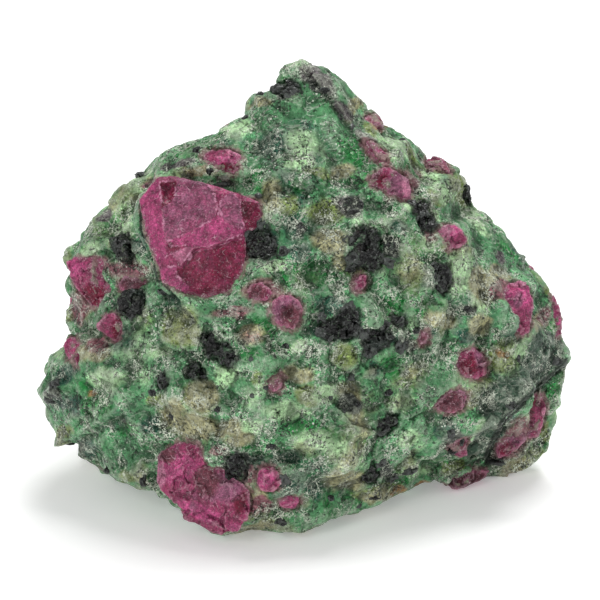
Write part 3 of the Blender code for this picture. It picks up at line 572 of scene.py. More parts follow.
# The planes that the large ruby broke along: each corner is at x, y, and stands out by so many millimetres.
RUBY_CORNERS = {
    "rim_left_top": (138.8, 199.2, 0.1), "rim_top_left": (157.8, 177.0, 0.2), "rim_top": (174.4, 175.6, 0.3),
    "rim_top_middle": (204.0, 182.6, 0.4), "rim_top_right": (240.0, 193.7, 0.4),
    "rim_right_top": (259.5, 202.9, 0.0), "rim_right": (265.0, 215.0, -0.2),
    "rim_right_low": (259.5, 227.9, -0.3), "rim_nick": (248.4, 232.5, -0.2),
    "rim_nick_low": (246.6, 239.0, -0.2), "rim_low_right": (246.6, 255.7, -0.5),
    "rim_low": (242.9, 272.3, -0.6), "rim_foot_right": (229.9, 291.7, -0.8), "rim_foot": (208.6, 300.0, -0.9),
    "rim_foot_left": (185.5, 294.5, -0.8), "rim_low_left": (161.5, 282.5, -0.6),
    "rim_ledge": (158.7, 267.7, -0.1), "rim_left_low": (149.4, 246.4, 0.1), "rim_left": (142.0, 216.8, 0.0),
    "strip_top": (159.6, 182.6, 0.7), "strip_upper": (161.9, 207.6, 1.1), "strip_middle": (163.3, 229.8, 1.2),
    "strip_lower": (166.0, 241.8, 1.2), "strip_foot": (167.0, 255.7, 0.6), "notch_right": (177.2, 180.7, 0.6),
    "notch_side": (174.4, 195.5, 0.5), "notch_foot": (170.7, 202.0, 0.6), "notch_bed": (166.0, 192.0, -0.1),
    "crest_start": (209.6, 186.3, 0.9), "crest_top": (214.2, 195.5, 1.3), "crest_middle": (217.0, 205.7, 1.5),
    "crest_foot": (216.0, 216.8, 1.6), "pane_start": (231.8, 191.8, 0.7), "pane_top": (221.6, 199.2, 0.9),
    "pane_left": (218.8, 210.3, 1.1), "pane_foot": (226.2, 223.3, 1.2),
    "pane_foot_right": (236.4, 227.9, 1.0), "side_top": (240.1, 200.2, 0.8),
    "side_middle": (241.0, 211.3, 0.9), "side_foot": (244.7, 228.8, 0.6), "band_left": (189.2, 231.6, 1.3),
    "band_middle": (200.3, 226.1, 1.5), "band_right": (208.6, 222.4, 1.7), "ledge_left": (181.8, 264.9, 0.3),
    "ledge_middle": (193.8, 248.3, 1.2), "ledge_right": (208.6, 246.4, 1.3), "ledge_far": (231.8, 238.1, 1.1),
    "below_left": (183.0, 267.6, -0.1), "below_middle": (195.0, 251.2, 0.1),
    "below_right": (209.0, 249.4, 0.2), "below_far": (232.0, 241.2, 0.1), "chip_left": (167.0, 246.4, 0.7),
    "chip_right": (187.4, 245.5, 0.9), "chip_foot": (169.8, 253.8, 0.5), "pit": (181.8, 235.3, 1.1),
    "foot_top": (176.3, 266.8, 0.1), "foot_middle": (176.3, 276.0, 0.0), "foot_low": (189.2, 286.2, -0.3),
}
RUBY_BREAK_LINES = [
    ["strip_top", "strip_upper", "strip_middle", "strip_lower", "strip_foot", "rim_ledge"],
    ["strip_top", "notch_right", "notch_side", "notch_foot", "strip_upper"],
    ["rim_top_middle", "crest_start", "crest_top", "crest_middle", "crest_foot"],
    ["pane_start", "pane_top", "pane_left", "pane_foot", "pane_foot_right", "side_foot", "rim_nick"],
    ["pane_start", "side_top", "side_middle", "side_foot"],
    ["strip_lower", "band_left", "band_middle", "band_right", "crest_foot", "pane_left"],
    ["rim_ledge", "ledge_left", "ledge_middle", "ledge_right", "ledge_far", "rim_nick"],
    ["rim_ledge", "foot_top", "below_left", "below_middle", "below_right", "below_far", "rim_nick_low"],
    ["chip_left", "chip_right", "chip_foot", "chip_left"],
    ["foot_top", "foot_middle", "foot_low", "rim_foot_left"],
]
# The planes' tones are partly the crystal's colour and partly painted light and shade: the planes that face
# the light are bright, and those that face away from it are deep and shaded.
RUBY_PLANE_LIGHT_AND_TONES = {
    "bright": [
        [
            "rim_left_top", "rim_top_left", "strip_top", "strip_upper", "strip_middle", "strip_lower",
            "strip_foot", "rim_ledge", "rim_left_low", "rim_left",
        ],
        ["rim_top_middle", "rim_top_right", "pane_start", "crest_start"],
        [
            "strip_lower", "band_left", "band_middle", "band_right", "crest_foot", "pane_left", "pane_foot",
            "pane_foot_right", "side_foot", "rim_nick", "ledge_far", "ledge_right", "ledge_middle",
            "chip_right",
        ],
        ["rim_ledge", "foot_top", "foot_middle", "foot_low", "rim_foot_left", "rim_low_left"],
    ],
    "dusty": [
        [
            "notch_right", "rim_top", "rim_top_middle", "crest_start", "crest_top", "crest_middle",
            "crest_foot", "band_right", "band_middle", "band_left", "strip_lower", "strip_middle",
            "strip_upper", "notch_foot", "notch_side",
        ],
        [
            "pane_start", "side_top", "side_middle", "side_foot", "pane_foot_right", "pane_foot", "pane_left",
            "pane_top",
        ],
    ],
    "deep": [
        ["strip_top", "notch_right", "notch_side", "notch_foot", "strip_upper"],
        [
            "below_left", "below_middle", "below_right", "below_far", "rim_nick_low", "rim_low_right",
            "rim_low", "rim_foot_right", "rim_foot", "rim_foot_left", "foot_low", "foot_middle", "foot_top",
        ],
        ["chip_left", "chip_right", "chip_foot"],
        ["side_top", "rim_right_top", "rim_right", "rim_right_low", "rim_nick", "side_foot", "side_middle"],
    ],
    "pale": [
        ["chip_foot", "chip_right", "ledge_middle", "ledge_left"],
    ],
    "shaded": [
        ["side_top", "rim_right_top", "side_foot", "side_middle"],
    ],
}

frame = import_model()


# ---------------------------------------------------------------- random fields


def hashed(cells, seed):
    """A repeatable random number from 0 to 1 for each cell, given by whole numbers x, y and z."""
    mixed = np.full(cells.shape[:-1], seed * SEED_FACTOR, np.int64)
    for axis, factor in enumerate(AXIS_FACTORS):
        mixed ^= cells[..., axis].astype(np.int64) * factor
    for shift, factor in MIXERS:
        mixed = ((mixed ^ (mixed >> shift)) * factor) & 0xFFFFFFFF
    return ((mixed ^ (mixed >> 16)) & 0xFFFFFF) / 0xFFFFFF


def hashed_places(cells, seed):
    """Three such numbers for each cell."""
    return np.stack([hashed(cells, seed + axis) for axis in range(3)], axis=1)


def soft_noise(points, size, seed):
    """Soft hills and dips from -1 to 1, about size apart."""
    scaled = points / size
    cell = np.floor(scaled).astype(int)
    part = scaled - cell
    part = part * part * (3 - 2 * part)
    total = np.zeros(len(points))
    for corner in itertools.product((0, 1), repeat=3):
        weight = np.prod(np.where(corner, part, 1 - part), axis=1)
        total += weight * hashed(cell + np.array(corner), seed)
    return total * 2 - 1


def layered_noise(points, size, seed):
    """Three layers of noise, each half the size and the height of the one before, from about -1 to 1."""
    layers = [soft_noise(points, size / 2**layer, seed + layer) / 2**layer for layer in range(3)]
    return sum(layers) / LAYERS_HEIGHT


def broken_faces(points, size, tilt, step, seed, crevice=0.0):
    """The height of a surface broken into flat faces about size across, each tilted and standing its own way.

    A crevice of the given depth runs between them.
    """
    scaled = points / size
    home = np.floor(scaled).astype(int)
    nearest, second = np.full(len(points), np.inf), np.full(len(points), np.inf)
    grain, middle = np.zeros_like(home), np.zeros_like(scaled)
    for around in itertools.product((-1, 0, 1), repeat=3):
        cell = home + np.array(around)
        centre = cell + hashed_places(cell, seed)
        distance = np.linalg.norm(scaled - centre, axis=1)
        closer = distance < nearest
        second = np.where(closer, nearest, np.minimum(second, distance))
        nearest = np.where(closer, distance, nearest)
        grain[closer], middle[closer] = cell[closer], centre[closer]
    tilts = hashed_places(grain, seed + 10) * 2 - 1
    leaning = ((scaled - middle) * tilts).sum(axis=1) * size * tilt
    crevices = crevice * np.exp(-(((second - nearest) * size / CREVICE_WIDTH) ** 2))
    return leaning + (hashed(grain, seed + 20) * 2 - 1) * step - crevices


# ---------------------------------------------------------------- meshes


def points_of(mesh):
    points = np.empty(len(mesh.vertices) * 3)
    mesh.vertices.foreach_get("co", points)
    return points.reshape(-1, 3)


def normals_of(mesh):
    normals = np.empty(len(mesh.vertices) * 3)
    mesh.vertex_normals.foreach_get("vector", normals)
    return normals.reshape(-1, 3)


def move_points(mesh, points):
    mesh.vertices.foreach_set("co", points.ravel())
    mesh.update()


def above_floor(points):
    return np.maximum(points, (-np.inf, -np.inf, 0.0))


def set_attribute(mesh, name, values):
    layer = mesh.attributes.new(name, "FLOAT", "POINT")
    layer.data.foreach_set("value", np.asarray(values, np.float32))


def evened(mesh, rounds):
    """The points, each moved to the middle of its neighbours time and again."""
    ends = np.empty(len(mesh.edges) * 2, int)
    mesh.edges.foreach_get("vertices", ends)
    first, second = ends.reshape(-1, 2).T
    points = points_of(mesh)
    count = np.bincount(ends, minlength=len(points))[:, None]
    for _ in range(rounds):
        total = [
            np.bincount(first, points[second, axis], len(points))
            + np.bincount(second, points[first, axis], len(points))
            for axis in range(3)
        ]
        points = np.stack(total, axis=1) / np.maximum(count, 1)
    return points


def set_relief(mesh, rounds):
    """Stores how far each point stands out of its surroundings, or lies in them."""
    height = ((points_of(mesh) - evened(mesh, rounds)) * normals_of(mesh)).sum(axis=1)
    set_attribute(mesh, "relief", height)


def wear_spikes(mesh):
    """Wears down the fins and spikes that stand far out of their surroundings."""
    for _ in range(SPIKE_ROUNDS):
        soft = evened(mesh, SPIKE_WIDTH)
        offset = points_of(mesh) - soft
        length = np.linalg.norm(offset, axis=1)
        kept = np.minimum(1, MOST_SPIKE / np.maximum(length, 1e-6))
        move_points(mesh, soft + offset * kept[:, None])


def solid_copy(node):
    """The node's solid in millimetres, as a bmesh whose faces share their points."""
    bm = bmesh.new()
    bm.from_mesh(frame["nodes"][node].data)
    bm.transform(frame["nodes"][node].matrix_world)
    bm.transform(Matrix.Scale(1 / MM, 4))
    bmesh.ops.remove_doubles(bm, verts=bm.verts, dist=MERGE_DISTANCE)
    bmesh.ops.recalc_face_normals(bm, faces=bm.faces)
    return bm


def grow(bm, reach):
    """Moves every face outwards."""
    bm.normal_update()
    moves = {}
    for vert in bm.verts:
        around = [face.normal for face in vert.link_faces if face.calc_area() > LEAST_AREA]
        mean = sum(around, Vector()).normalized()
        least = min((mean.dot(normal) for normal in around), default=1.0)
        moves[vert] = mean * reach / max(least, LEAST_LEAN)
    for vert, move in moves.items():
        vert.co += move


def inwards(bm):
    """The direction from a crystal's top down to its root, from the faces that look into the rock."""
    middle = sum((vert.co for vert in bm.verts), Vector()) / len(bm.verts)
    out = (middle - MIDDLE).normalized()
    root = Vector()
    for face in bm.faces:
        root += face.normal * face.calc_area() * max(0.0, -face.normal.dot(out)) ** 8
    return root.normalized()


def grown_solid(node, growth, drop):
    """A copy of the node's solid, grown and sunk towards its root."""
    bm = solid_copy(node)
    grow(bm, growth)
    bmesh.ops.translate(bm, verts=bm.verts, vec=inwards(bm) * drop)
    return bm


def add_object(name, data):
    obj = bpy.data.objects.new(name, data)
    bpy.context.scene.collection.objects.link(obj)
    return obj


def mesh_object(name, bm):
    mesh = bpy.data.meshes.new(name)
    bm.to_mesh(mesh)
    bm.free()
    return add_object(name, mesh)


def apply_modifiers(obj):
    graph = bpy.context.evaluated_depsgraph_get()
    shaped = bpy.data.meshes.new_from_object(obj.evaluated_get(graph))
    obj.modifiers.clear()
    old = obj.data
    obj.data = shaped
    bpy.data.meshes.remove(old)


def even_net(obj, spacing, rounds):
    """Lays an even net of points over the surface and rounds its edges a little."""
    net = obj.modifiers.new("net", "REMESH")
    net.mode = "VOXEL"
    net.voxel_size = spacing
    worn = obj.modifiers.new("worn", "SMOOTH")
    worn.factor = 0.5
    worn.iterations = rounds
    apply_modifiers(obj)


def thin_out(obj, most_faces):
    faces = len(obj.data.polygons) * 2
    if faces <= most_faces:
        return
    step = obj.modifiers.new("thin", "DECIMATE")
    step.ratio = most_faces / faces
    step.use_collapse_triangulate = True
    apply_modifiers(obj)


def drop_crumbs(mesh):
    """Takes out whatever has come loose of the mesh's largest part."""
    bm = bmesh.new()
    bm.from_mesh(mesh)
    left, largest = set(bm.verts), set()
    while left:
        part = {left.pop()}
        ends = list(part)
        while ends:
            vert = ends.pop()
            around = {edge.other_vert(vert) for edge in vert.link_edges} - part
            part |= around
            ends += around
        left -= part
        largest = max(largest, part, key=len)
    bmesh.ops.delete(bm, geom=[vert for vert in bm.verts if vert not in largest], context="VERTS")
    bm.to_mesh(mesh)
    bm.free()


def finish(obj, material, slot, *nodes):
    """Scales a finished piece to metres, gives it its material and body, and hides the nodes that it stands
    for.
    """
    obj.data.materials.clear()
    obj.data.materials.append(material)
    obj.data.transform(Matrix.Scale(MM, 4))
    obj.data.update()
    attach(obj, "root")
    if nodes:
        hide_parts(*nodes)


def tree_of(objects):
    """A search tree over the faces of some finished objects, in millimetres."""
    bm = bmesh.new()
    for obj in objects:
        held = obj.data.copy()
        held.transform(Matrix.Scale(1 / MM, 4))
        bm.from_mesh(held)
        bpy.data.meshes.remove(held)
    tree = BVHTree.FromBMesh(bm)
    bm.free()
    return tree


def nearness(points, tree, reach):
    """1 where a point touches the tree's faces, falling to 0 at reach."""
    near = np.zeros(len(points))
    for index, point in enumerate(points):
        found = tree.find_nearest(Vector(point), reach)
        if found[0] is not None:
            near[index] = 1 - found[3] / reach
    return near


# ---------------------------------------------------------------- places in the photograph


def seen_place(x, y, depth):
    """The point that the camera sees at a pixel, so far behind the upright plane through the middle."""
    across, up = (x - IMAGE_SIZE / 2) * PIXEL, (IMAGE_SIZE / 2 - y) * PIXEL
    spread = 1 + depth / CAMERA_DISTANCE
    return MIDDLE + RIGHT * across * spread + UP * up * spread + AWAY * depth


def seen_at(points):
    """The pixels at which the camera sees points, and how deep they lie."""
    offset = points - np.array(MIDDLE)
    depth = offset @ np.array(AWAY)
    spread = (1 + depth / CAMERA_DISTANCE) * PIXEL
    x = IMAGE_SIZE / 2 + offset @ np.array(RIGHT) / spread
    y = IMAGE_SIZE / 2 - offset @ np.array(UP) / spread
    return x, y, depth


def seen_about(points, size, reach, seed):
    """The pixels at which the camera sees points, shifted about by as many pixels as reach."""
    x, y, _ = seen_at(points)
    x = x + layered_noise(points, size, seed) * reach
    y = y + layered_noise(points, size, seed + 4) * reach
    return x, y


def facing_camera(normals):
    """1 where a surface faces the camera, falling to 0 where it turns away from it."""
    return np.clip(-(normals @ np.array(AWAY)) * FACING_SLOPE + FACING_START, 0, 1)


def patch_weights(points, normals, patches, ragged):
    """How strongly each point lies in the patches: 1 inside, about 0.5 on a border and 0 away from it."""
    x, y = seen_about(points, PATCH_BORDER_SIZE, ragged, 91)
    weight = np.zeros(len(points))
    for middle_x, middle_y, half_width, half_height, *turn in patches:
        angle = math.radians(sum(turn))
        cos, sin = math.cos(angle), math.sin(angle)
        across, down = x - middle_x, y - middle_y
        along = (across * cos - down * sin) / half_width
        beside = (across * sin + down * cos) / half_height
        weight = np.maximum(weight, np.clip(PATCH_EDGE - np.sqrt(along**2 + beside**2), 0, 1))
    return weight * facing_camera(normals)


def inside(x, y, corners):
    """Whether pixels lie inside a polygon."""
    within = np.zeros(len(x), bool)
    for (from_x, from_y), (to_x, to_y) in zip(corners, corners[1:] + corners[:1]):
        if from_y == to_y:
            continue
        crossing = from_x + (y - from_y) * (to_x - from_x) / (to_y - from_y)
        within ^= ((from_y > y) != (to_y > y)) & (x < crossing)
    return within


def near_line(x, y, corners):
    """How far pixels lie from a line through corners, and on which side: above 0 is left of it as it runs."""
    best, side = np.full(len(x), np.inf), np.zeros(len(x))
    for (from_x, from_y), (to_x, to_y) in zip(corners, corners[1:]):
        along_x, along_y = to_x - from_x, to_y - from_y
        length = math.hypot(along_x, along_y)
        share = np.clip(((x - from_x) * along_x + (y - from_y) * along_y) / length**2, 0, 1)
        distance = np.hypot(x - from_x - share * along_x, y - from_y - share * along_y)
        turn = (along_y * (x - from_x) - along_x * (y - from_y)) / length
        closer = distance < best
        best, side = np.where(closer, distance, best), np.where(closer, np.sign(turn), side)
    return best, side


def set_tones(mesh, patches, shares, size, ragged, chance_in_front):
    """Stores how strongly each point has each tone, from the named patches in front and from chance."""
    points, normals = points_of(mesh), normals_of(mesh)
    front = facing_camera(normals)
    for seed, (tone, share) in enumerate(shares.items()):
        chance = 0.5 + (layered_noise(points, size, 200 + seed * 7) - share) * CHANCE_CONTRAST
        chance = np.clip(chance, 0, 1) * (1 - front * (1 - chance_in_front))
        named = patch_weights(points, normals, patches[tone], ragged)
        set_attribute(mesh, tone, np.maximum(chance, named))


# ---------------------------------------------------------------- the rock


def crystal_nodes(kind):
    return sorted(name for name in frame["nodes"] if name.startswith(kind + "_"))


def rock_form():
    """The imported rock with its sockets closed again, just under the crystals' tops, on a fine even net."""
    whole = solid_copy(ROCK_NODE)
    for node in crystal_nodes("ruby") + crystal_nodes("hornblende"):
        plug = grown_solid(node, PLUG_GROWTH, PLUG_DROP)
        held = bpy.data.meshes.new("plug")
        plug.to_mesh(held)
        plug.free()
        whole.from_mesh(held)
        bpy.data.meshes.remove(held)
    rock = mesh_object("zoisite_rock", whole)
    even_net(rock, ROCK_NET, ROCK_ROUNDS)
    return rock


def smoothness(points, normals):
    """How smooth the rock parted: 0 on the rough breaks and up to 0.95 on the sloping face under the peak."""
    x, y, _ = seen_at(points)
    amount = np.zeros(len(points))
    for middle_x, middle_y, radius, share in SMOOTH_PLACES:
        distance = np.hypot(x - middle_x, y - middle_y)
        amount = np.maximum(amount, share * np.exp(-((distance / radius) ** 2)))
    return amount * facing_camera(normals)


def uncover(points, normals, tree, flakes):
    """Lowers the points of the rock that lie over a crystal until the crystal shows, but for the flakes."""
    for index, (point, normal) in enumerate(zip(points, normals)):
        place, out = Vector(point), Vector(normal)
        if tree.find_nearest(place, COVER_DEPTH)[0] is None:
            continue
        hit, face, _, distance = tree.ray_cast(place, -out, COVER_DEPTH)
        if hit is None or face.dot(out) <= LEAST_COVER_TURN or flakes[index] and distance < FLAKE_DEPTH:
            continue
        points[index] = hit - out * COVER_MARGIN


def ledges(points, normals):
    """The height of the ledges and grooves that the front shows, and the painted shade along them."""
    x, y = seen_about(points, LEDGE_BEND_SIZE, LEDGE_BEND_REACH, 301)
    front = facing_camera(normals)
    height, ledge_shade = np.zeros(len(points)), np.zeros(len(points))
    for corners, step, reach, shade in LEDGES:
        distance, side = near_line(x, y, corners)
        raised = step * np.clip(1 - distance / reach, 0, 1) * side
        height += raised * front
        ledge_shade = np.maximum(ledge_shade, shade * np.exp(-((distance / (reach / LEDGE_NARROWING)) ** 2)))
    return height, ledge_shade * front


def pulled(points):
    """The points after the pulls on the outline."""
    x, y, _ = seen_at(points)
    for middle_x, middle_y, reach, right, down in PULLS:
        share = np.exp(-(((x - middle_x) ** 2 + (y - middle_y) ** 2) / reach**2))
        points = points + np.outer(share, (RIGHT * right - UP * down) * PIXEL)
    return points


def rock_surface(bare_tree, crystal_tree):
    """The rock with its breaks and ledges, cleared away over the crystals."""
    rock = rock_form()
    points, normals = points_of(rock.data), normals_of(rock.data)
    points = pulled(points)
    warp = np.stack([soft_noise(points, WARP_SIZE, seed) for seed in (1, 2, 3)], axis=1) * WARP_REACH
    coarse = broken_faces(points + warp, *LARGE_BREAKS) + broken_faces(points + warp, *MIDDLE_BREAKS)
    coarse += layered_noise(points, SWELL_SIZE, 5) * SWELL_HEIGHT
    rough = 1 - smoothness(points, normals)
    fine = SMALL_BREAKS_LEFT + (1 - SMALL_BREAKS_LEFT) * rough
    height = rough * coarse + fine * broken_faces(points, *SMALL_BREAKS)
    height = np.clip(height, *BREAK_HEIGHTS) + ledges(points, normals)[0]
    points = points + normals * height[:, None]
    uncover(points, normals, bare_tree, np.zeros(len(points), bool))
    uncover(points, normals, crystal_tree, layered_noise(points, FLAKE_SIZE, 401) > FLAKES)
    move_points(rock.data, points)
    wear_spikes(rock.data)
    move_points(rock.data, above_floor(points_of(rock.data)))
    thin_out(rock, MOST_ROCK_FACES)
    drop_crumbs(rock.data)
    return rock


def open_rock_tree(rock, crystal_tree):
    """A search tree over the rock's faces, without the ones inside a crystal."""
    bm = bmesh.new()
    bm.from_mesh(rock.data)
    covered = []
    for vert in bm.verts:
        place, normal, _, _ = crystal_tree.find_nearest(vert.co, COVER_DEPTH)
        if place is not None and normal.dot(vert.co - place) < 0:
            covered.append(vert)
    bmesh.ops.delete(bm, geom=covered, context="VERTS")
    tree = BVHTree.FromBMesh(bm)
    bm.free()
    return tree


# ---------------------------------------------------------------- the crystals


class Kind(NamedTuple):
    """What the crystals of one kind have in common."""

    slot: str
    material: bpy.types.Material
    tones: tuple  # as set_tones takes them
    breaks: list
    ragged: float


def work_surface(obj, kind):
    """Breaks a crystal's surface into small faces and makes its outline ragged."""
    points, normals = points_of(obj.data), normals_of(obj.data)
    height = sum(broken_faces(points, *layer) for layer in kind.breaks)
    sway = [layered_noise(points, RAGGED_SIZE, seed) for seed in (41, 51, 61)]
    points = points + normals * height[:, None] + np.stack(sway, axis=1) * kind.ragged
    move_points(obj.data, above_floor(points))
    set_tones(obj.data, *kind.tones)
    set_relief(obj.data, CRYSTAL_RELIEF_ROUNDS)


def crystal(node, bm, kind, net=CRYSTAL_NET, rounds=CRYSTAL_ROUNDS):
    """A piece that stands for a crystal's node, worked out of a form."""
    obj = mesh_object(node + "_crystal", bm)
    even_net(obj, net, rounds)
    work_surface(obj, kind)
    if node == LARGE_RUBY:
        set_plane_light_and_tones(obj.data)
    finish(obj, kind.material, kind.slot, node)
    return obj


class Top(NamedTuple):
    """A crystal's top as the camera sees it: its depth at its middle pixel, and what each pixel adds."""

    depth: float
    per_x: float
    per_y: float
    x: float
    y: float

    def place(self, x, y, stand):
        """The point that the camera sees at a pixel, standing so far out of the top."""
        depth = self.depth + self.per_x * (x - self.x) + self.per_y * (y - self.y)
        return seen_place(x, y, depth - stand)


def top_of(node):
    cad = mesh_object("cad", solid_copy(node))
    areas, rows, depths = [], [], []
    for face in cad.data.polygons:
        x, y, depth = seen_at(np.array(face.center)[None])
        areas.append(face.area * max(0.0, -face.normal.dot(AWAY)) ** 4)
        rows.append((1.0, x[0], y[0]))
        depths.append(depth[0])
    bpy.data.objects.remove(cad)
    weights = np.sqrt(np.array(areas))[:, None]
    rows = np.array(rows)
    centre = (rows * weights**2).sum(axis=0) / (weights**2).sum()
    rows -= (0.0, centre[1], centre[2])
    fit = np.linalg.lstsq(rows * weights, np.array(depths) * weights[:, 0], rcond=None)[0]
    return Top(fit[0], *np.clip(fit[1:], -STEEPEST, STEEPEST), *centre[1:])


def give_root(bm, depth, share):
    """Closes a crystal's open top with sides and a narrower root behind it."""
    rim = [edge for edge in bm.edges if edge.is_boundary]
    corners = {vert for edge in rim for vert in edge.verts}
    middle = sum((vert.co for vert in corners), Vector()) / len(corners)
    for item in bmesh.ops.extrude_edge_only(bm, edges=rim)["geom"]:
        if isinstance(item, bmesh.types.BMVert):
            item.co = middle + (item.co - middle) * share + AWAY * depth
    bmesh.ops.holes_fill(bm, edges=[edge for edge in bm.edges if edge.is_boundary])
    bmesh.ops.triangulate(bm, faces=bm.faces)
    bmesh.ops.recalc_face_normals(bm, faces=bm.faces)


def outlined_form(node):
    """A crystal in front, which fills its outline in the photograph and keeps to its solid's top."""
    top = top_of(node)
    outline = np.array(OUTLINES[node], float)
    middle = outline.mean(axis=0)
    bm = bmesh.new()
    rim = [bm.verts.new(top.place(x, y, CRYSTAL_STAND)) for x, y in outline]
    chance = random.Random(node)
    stand = CRYSTAL_STAND + RAISED.get(node, RAISED_USUALLY)
    inner = []
    shift = (outline[chance.randrange(len(outline))] - middle) * chance.uniform(*TOP_SHIFTS)
    for x, y in middle + shift + (outline - middle) * TOP_SHARE:
        pull, height = chance.uniform(*TOP_PULLS), chance.uniform(*TOP_HEIGHTS)
        x, y = x + (x - middle[0]) * pull, y + (y - middle[1]) * pull
        inner.append(bm.verts.new(top.place(x, y, stand * height)))
    for index in range(len(rim)):
        after = (index + 1) % len(rim)
        bm.faces.new((rim[index], rim[after], inner[after], inner[index]))
    bm.faces.new(inner)
    give_root(bm, ROOT_DEPTH, ROOT_SHARE)
    return bm


def large_ruby_form():
    """The large ruby, with the planes that it broke along."""
    top = top_of(LARGE_RUBY)
    names = list(RUBY_CORNERS)
    rim = list(range(RUBY_RIM))
    edges = list(zip(rim, rim[1:] + rim[:1]))
    for line in RUBY_BREAK_LINES:
        edges += [(names.index(first), names.index(second)) for first, second in zip(line, line[1:])]
    flat = [Vector(RUBY_CORNERS[name][:2]) for name in names]
    flat, _, faces, kept, _, _ = delaunay_2d_cdt(flat, edges, [rim], 1, 0.01)
    bm = bmesh.new()
    verts = []
    for place, sources in zip(flat, kept):
        stand = RUBY_CORNERS[names[sources[0]]][2] if sources else RUBY_STAND_BETWEEN
        verts.append(bm.verts.new(top.place(place.x, place.y, stand + RUBY_LIFT)))
    for face in faces:
        bm.faces.new([verts[index] for index in face])
    give_root(bm, RUBY_ROOT_DEPTH, RUBY_ROOT_SHARE)
    return bm


def set_plane_light_and_tones(mesh):
    """Gives every broken plane of the large ruby its own tone, and marks the seams between them. The tones
    are partly the crystal's colour and partly painted light and shade: bright on the planes that face the
    light, and deep and shaded on those that face away from it.
    """
    points = points_of(mesh)
    x, y = seen_about(points, PLANE_BEND_SIZE, PLANE_BEND_REACH, 311)
    front = facing_camera(normals_of(mesh))
    for tone, planes in RUBY_PLANE_LIGHT_AND_TONES.items():
        weight = np.zeros(len(points))
        for names in planes:
            weight[inside(x, y, [RUBY_CORNERS[name][:2] for name in names])] = PLANE_LIGHT_AND_TONE_SHARE
        layer = mesh.attributes[tone].data
        values = np.where(front > 0.5, weight, [item.value for item in layer])
        layer.foreach_set("value", values.astype(np.float32))
    lines = [[RUBY_CORNERS[name][:2] for name in line] for line in RUBY_BREAK_LINES]
    seam = np.min([near_line(x, y, line)[0] for line in lines], axis=0)
    broken = np.clip(layered_noise(points, 0.9, 321) * 1.6 + 0.6, 0, 1)
    set_attribute(mesh, "seam", np.exp(-((seam / SEAM_REACH) ** 2)) * broken * front)


def all_crystals(kind):
    """A piece for each crystal of a kind, the large ruby apart."""
    made = []
    for node in crystal_nodes(kind.slot):
        if node in OUTLINES:
            made.append(crystal(node, outlined_form(node), kind))
        elif node != LARGE_RUBY:
            drop = SUNK_CRYSTALS.get(node, CRYSTAL_DROP)
            made.append(crystal(node, grown_solid(node, CRYSTAL_GROWTH, drop), kind))
    return made


def add_grain(bm, place, normal, half_width, half_height, seed):
    """A knobbly grain, half sunk into the rock."""
    radius = (half_width + half_height) / 2
    rounds = 3 if radius > LARGE_GRAIN else 2
    made = bmesh.ops.create_icosphere(bm, subdivisions=rounds, radius=1.0)["verts"]
    points = np.array([vert.co for vert in made])
    points *= (1 + broken_faces(points + seed * GRAIN_SPACING, *GRAIN_BREAKS))[:, None]
    sideways = RIGHT.cross(normal).normalized()
    across = normal.cross(sideways)
    for vert, point in zip(made, points):
        offset = across * point[0] * half_width + sideways * point[1] * half_height
        vert.co = place + offset + normal * (point[2] * GRAIN_HEIGHT - GRAIN_DROP) * radius


def small_grains(kind, rock_tree, crystal_tree):
    """The small grains of hornblende: the ones that the front shows, and some at random where it doesn't."""
    bm = bmesh.new()
    for seed, (x, y, half_width, half_height) in enumerate(FRONT_GRAINS):
        sight = (seen_place(x, y, 0) - EYE).normalized()
        place, normal, _, _ = rock_tree.ray_cast(EYE, sight)
        if place is not None:
            up = (normal - AWAY).normalized()
            add_grain(bm, place, up, half_width * PIXEL, half_height * PIXEL, seed)
    chance = random.Random(7)
    done = 0
    while done < SIDE_GRAINS:
        height, angle = chance.uniform(*SIDE_GRAIN_HEIGHTS), chance.uniform(0, 2 * math.pi)
        flat = math.sqrt(1 - height * height)
        out = Vector((math.cos(angle) * flat, math.sin(angle) * flat, height))
        place, normal, _, _ = rock_tree.ray_cast(MIDDLE + out * OUTSIDE, -out)
        if place is None or normal.dot(AWAY) < LEAST_SIDEWAYS:
            continue
        if crystal_tree.find_nearest(place, GRAIN_ROOM)[0] is not None:
            continue
        for _ in range(chance.choice(GRAIN_CLUSTERS)):
            radius = chance.uniform(*SIDE_GRAIN_RADII)
            shift = Vector([chance.uniform(-1, 1) for _ in range(3)])
            near, up, _, _ = rock_tree.find_nearest(place + shift)
            if near.z >= LOWEST_GRAIN:
                add_grain(bm, near, up, radius, radius * chance.uniform(0.6, 1), 100 + done)
                done += 1
    bmesh.ops.recalc_face_normals(bm, faces=bm.faces)
    obj = mesh_object("hornblende_grains", bm)
    set_tones(obj.data, *kind.tones)
    set_relief(obj.data, CRYSTAL_RELIEF_ROUNDS)
    finish(obj, kind.material, kind.slot)


# ---------------------------------------------------------------- materials


def linear(colour):
    """A screen colour from 0 to 255 as the light that it stands for."""
    return tuple((part / 255) ** 2.2 for part in colour) + (1.0,)


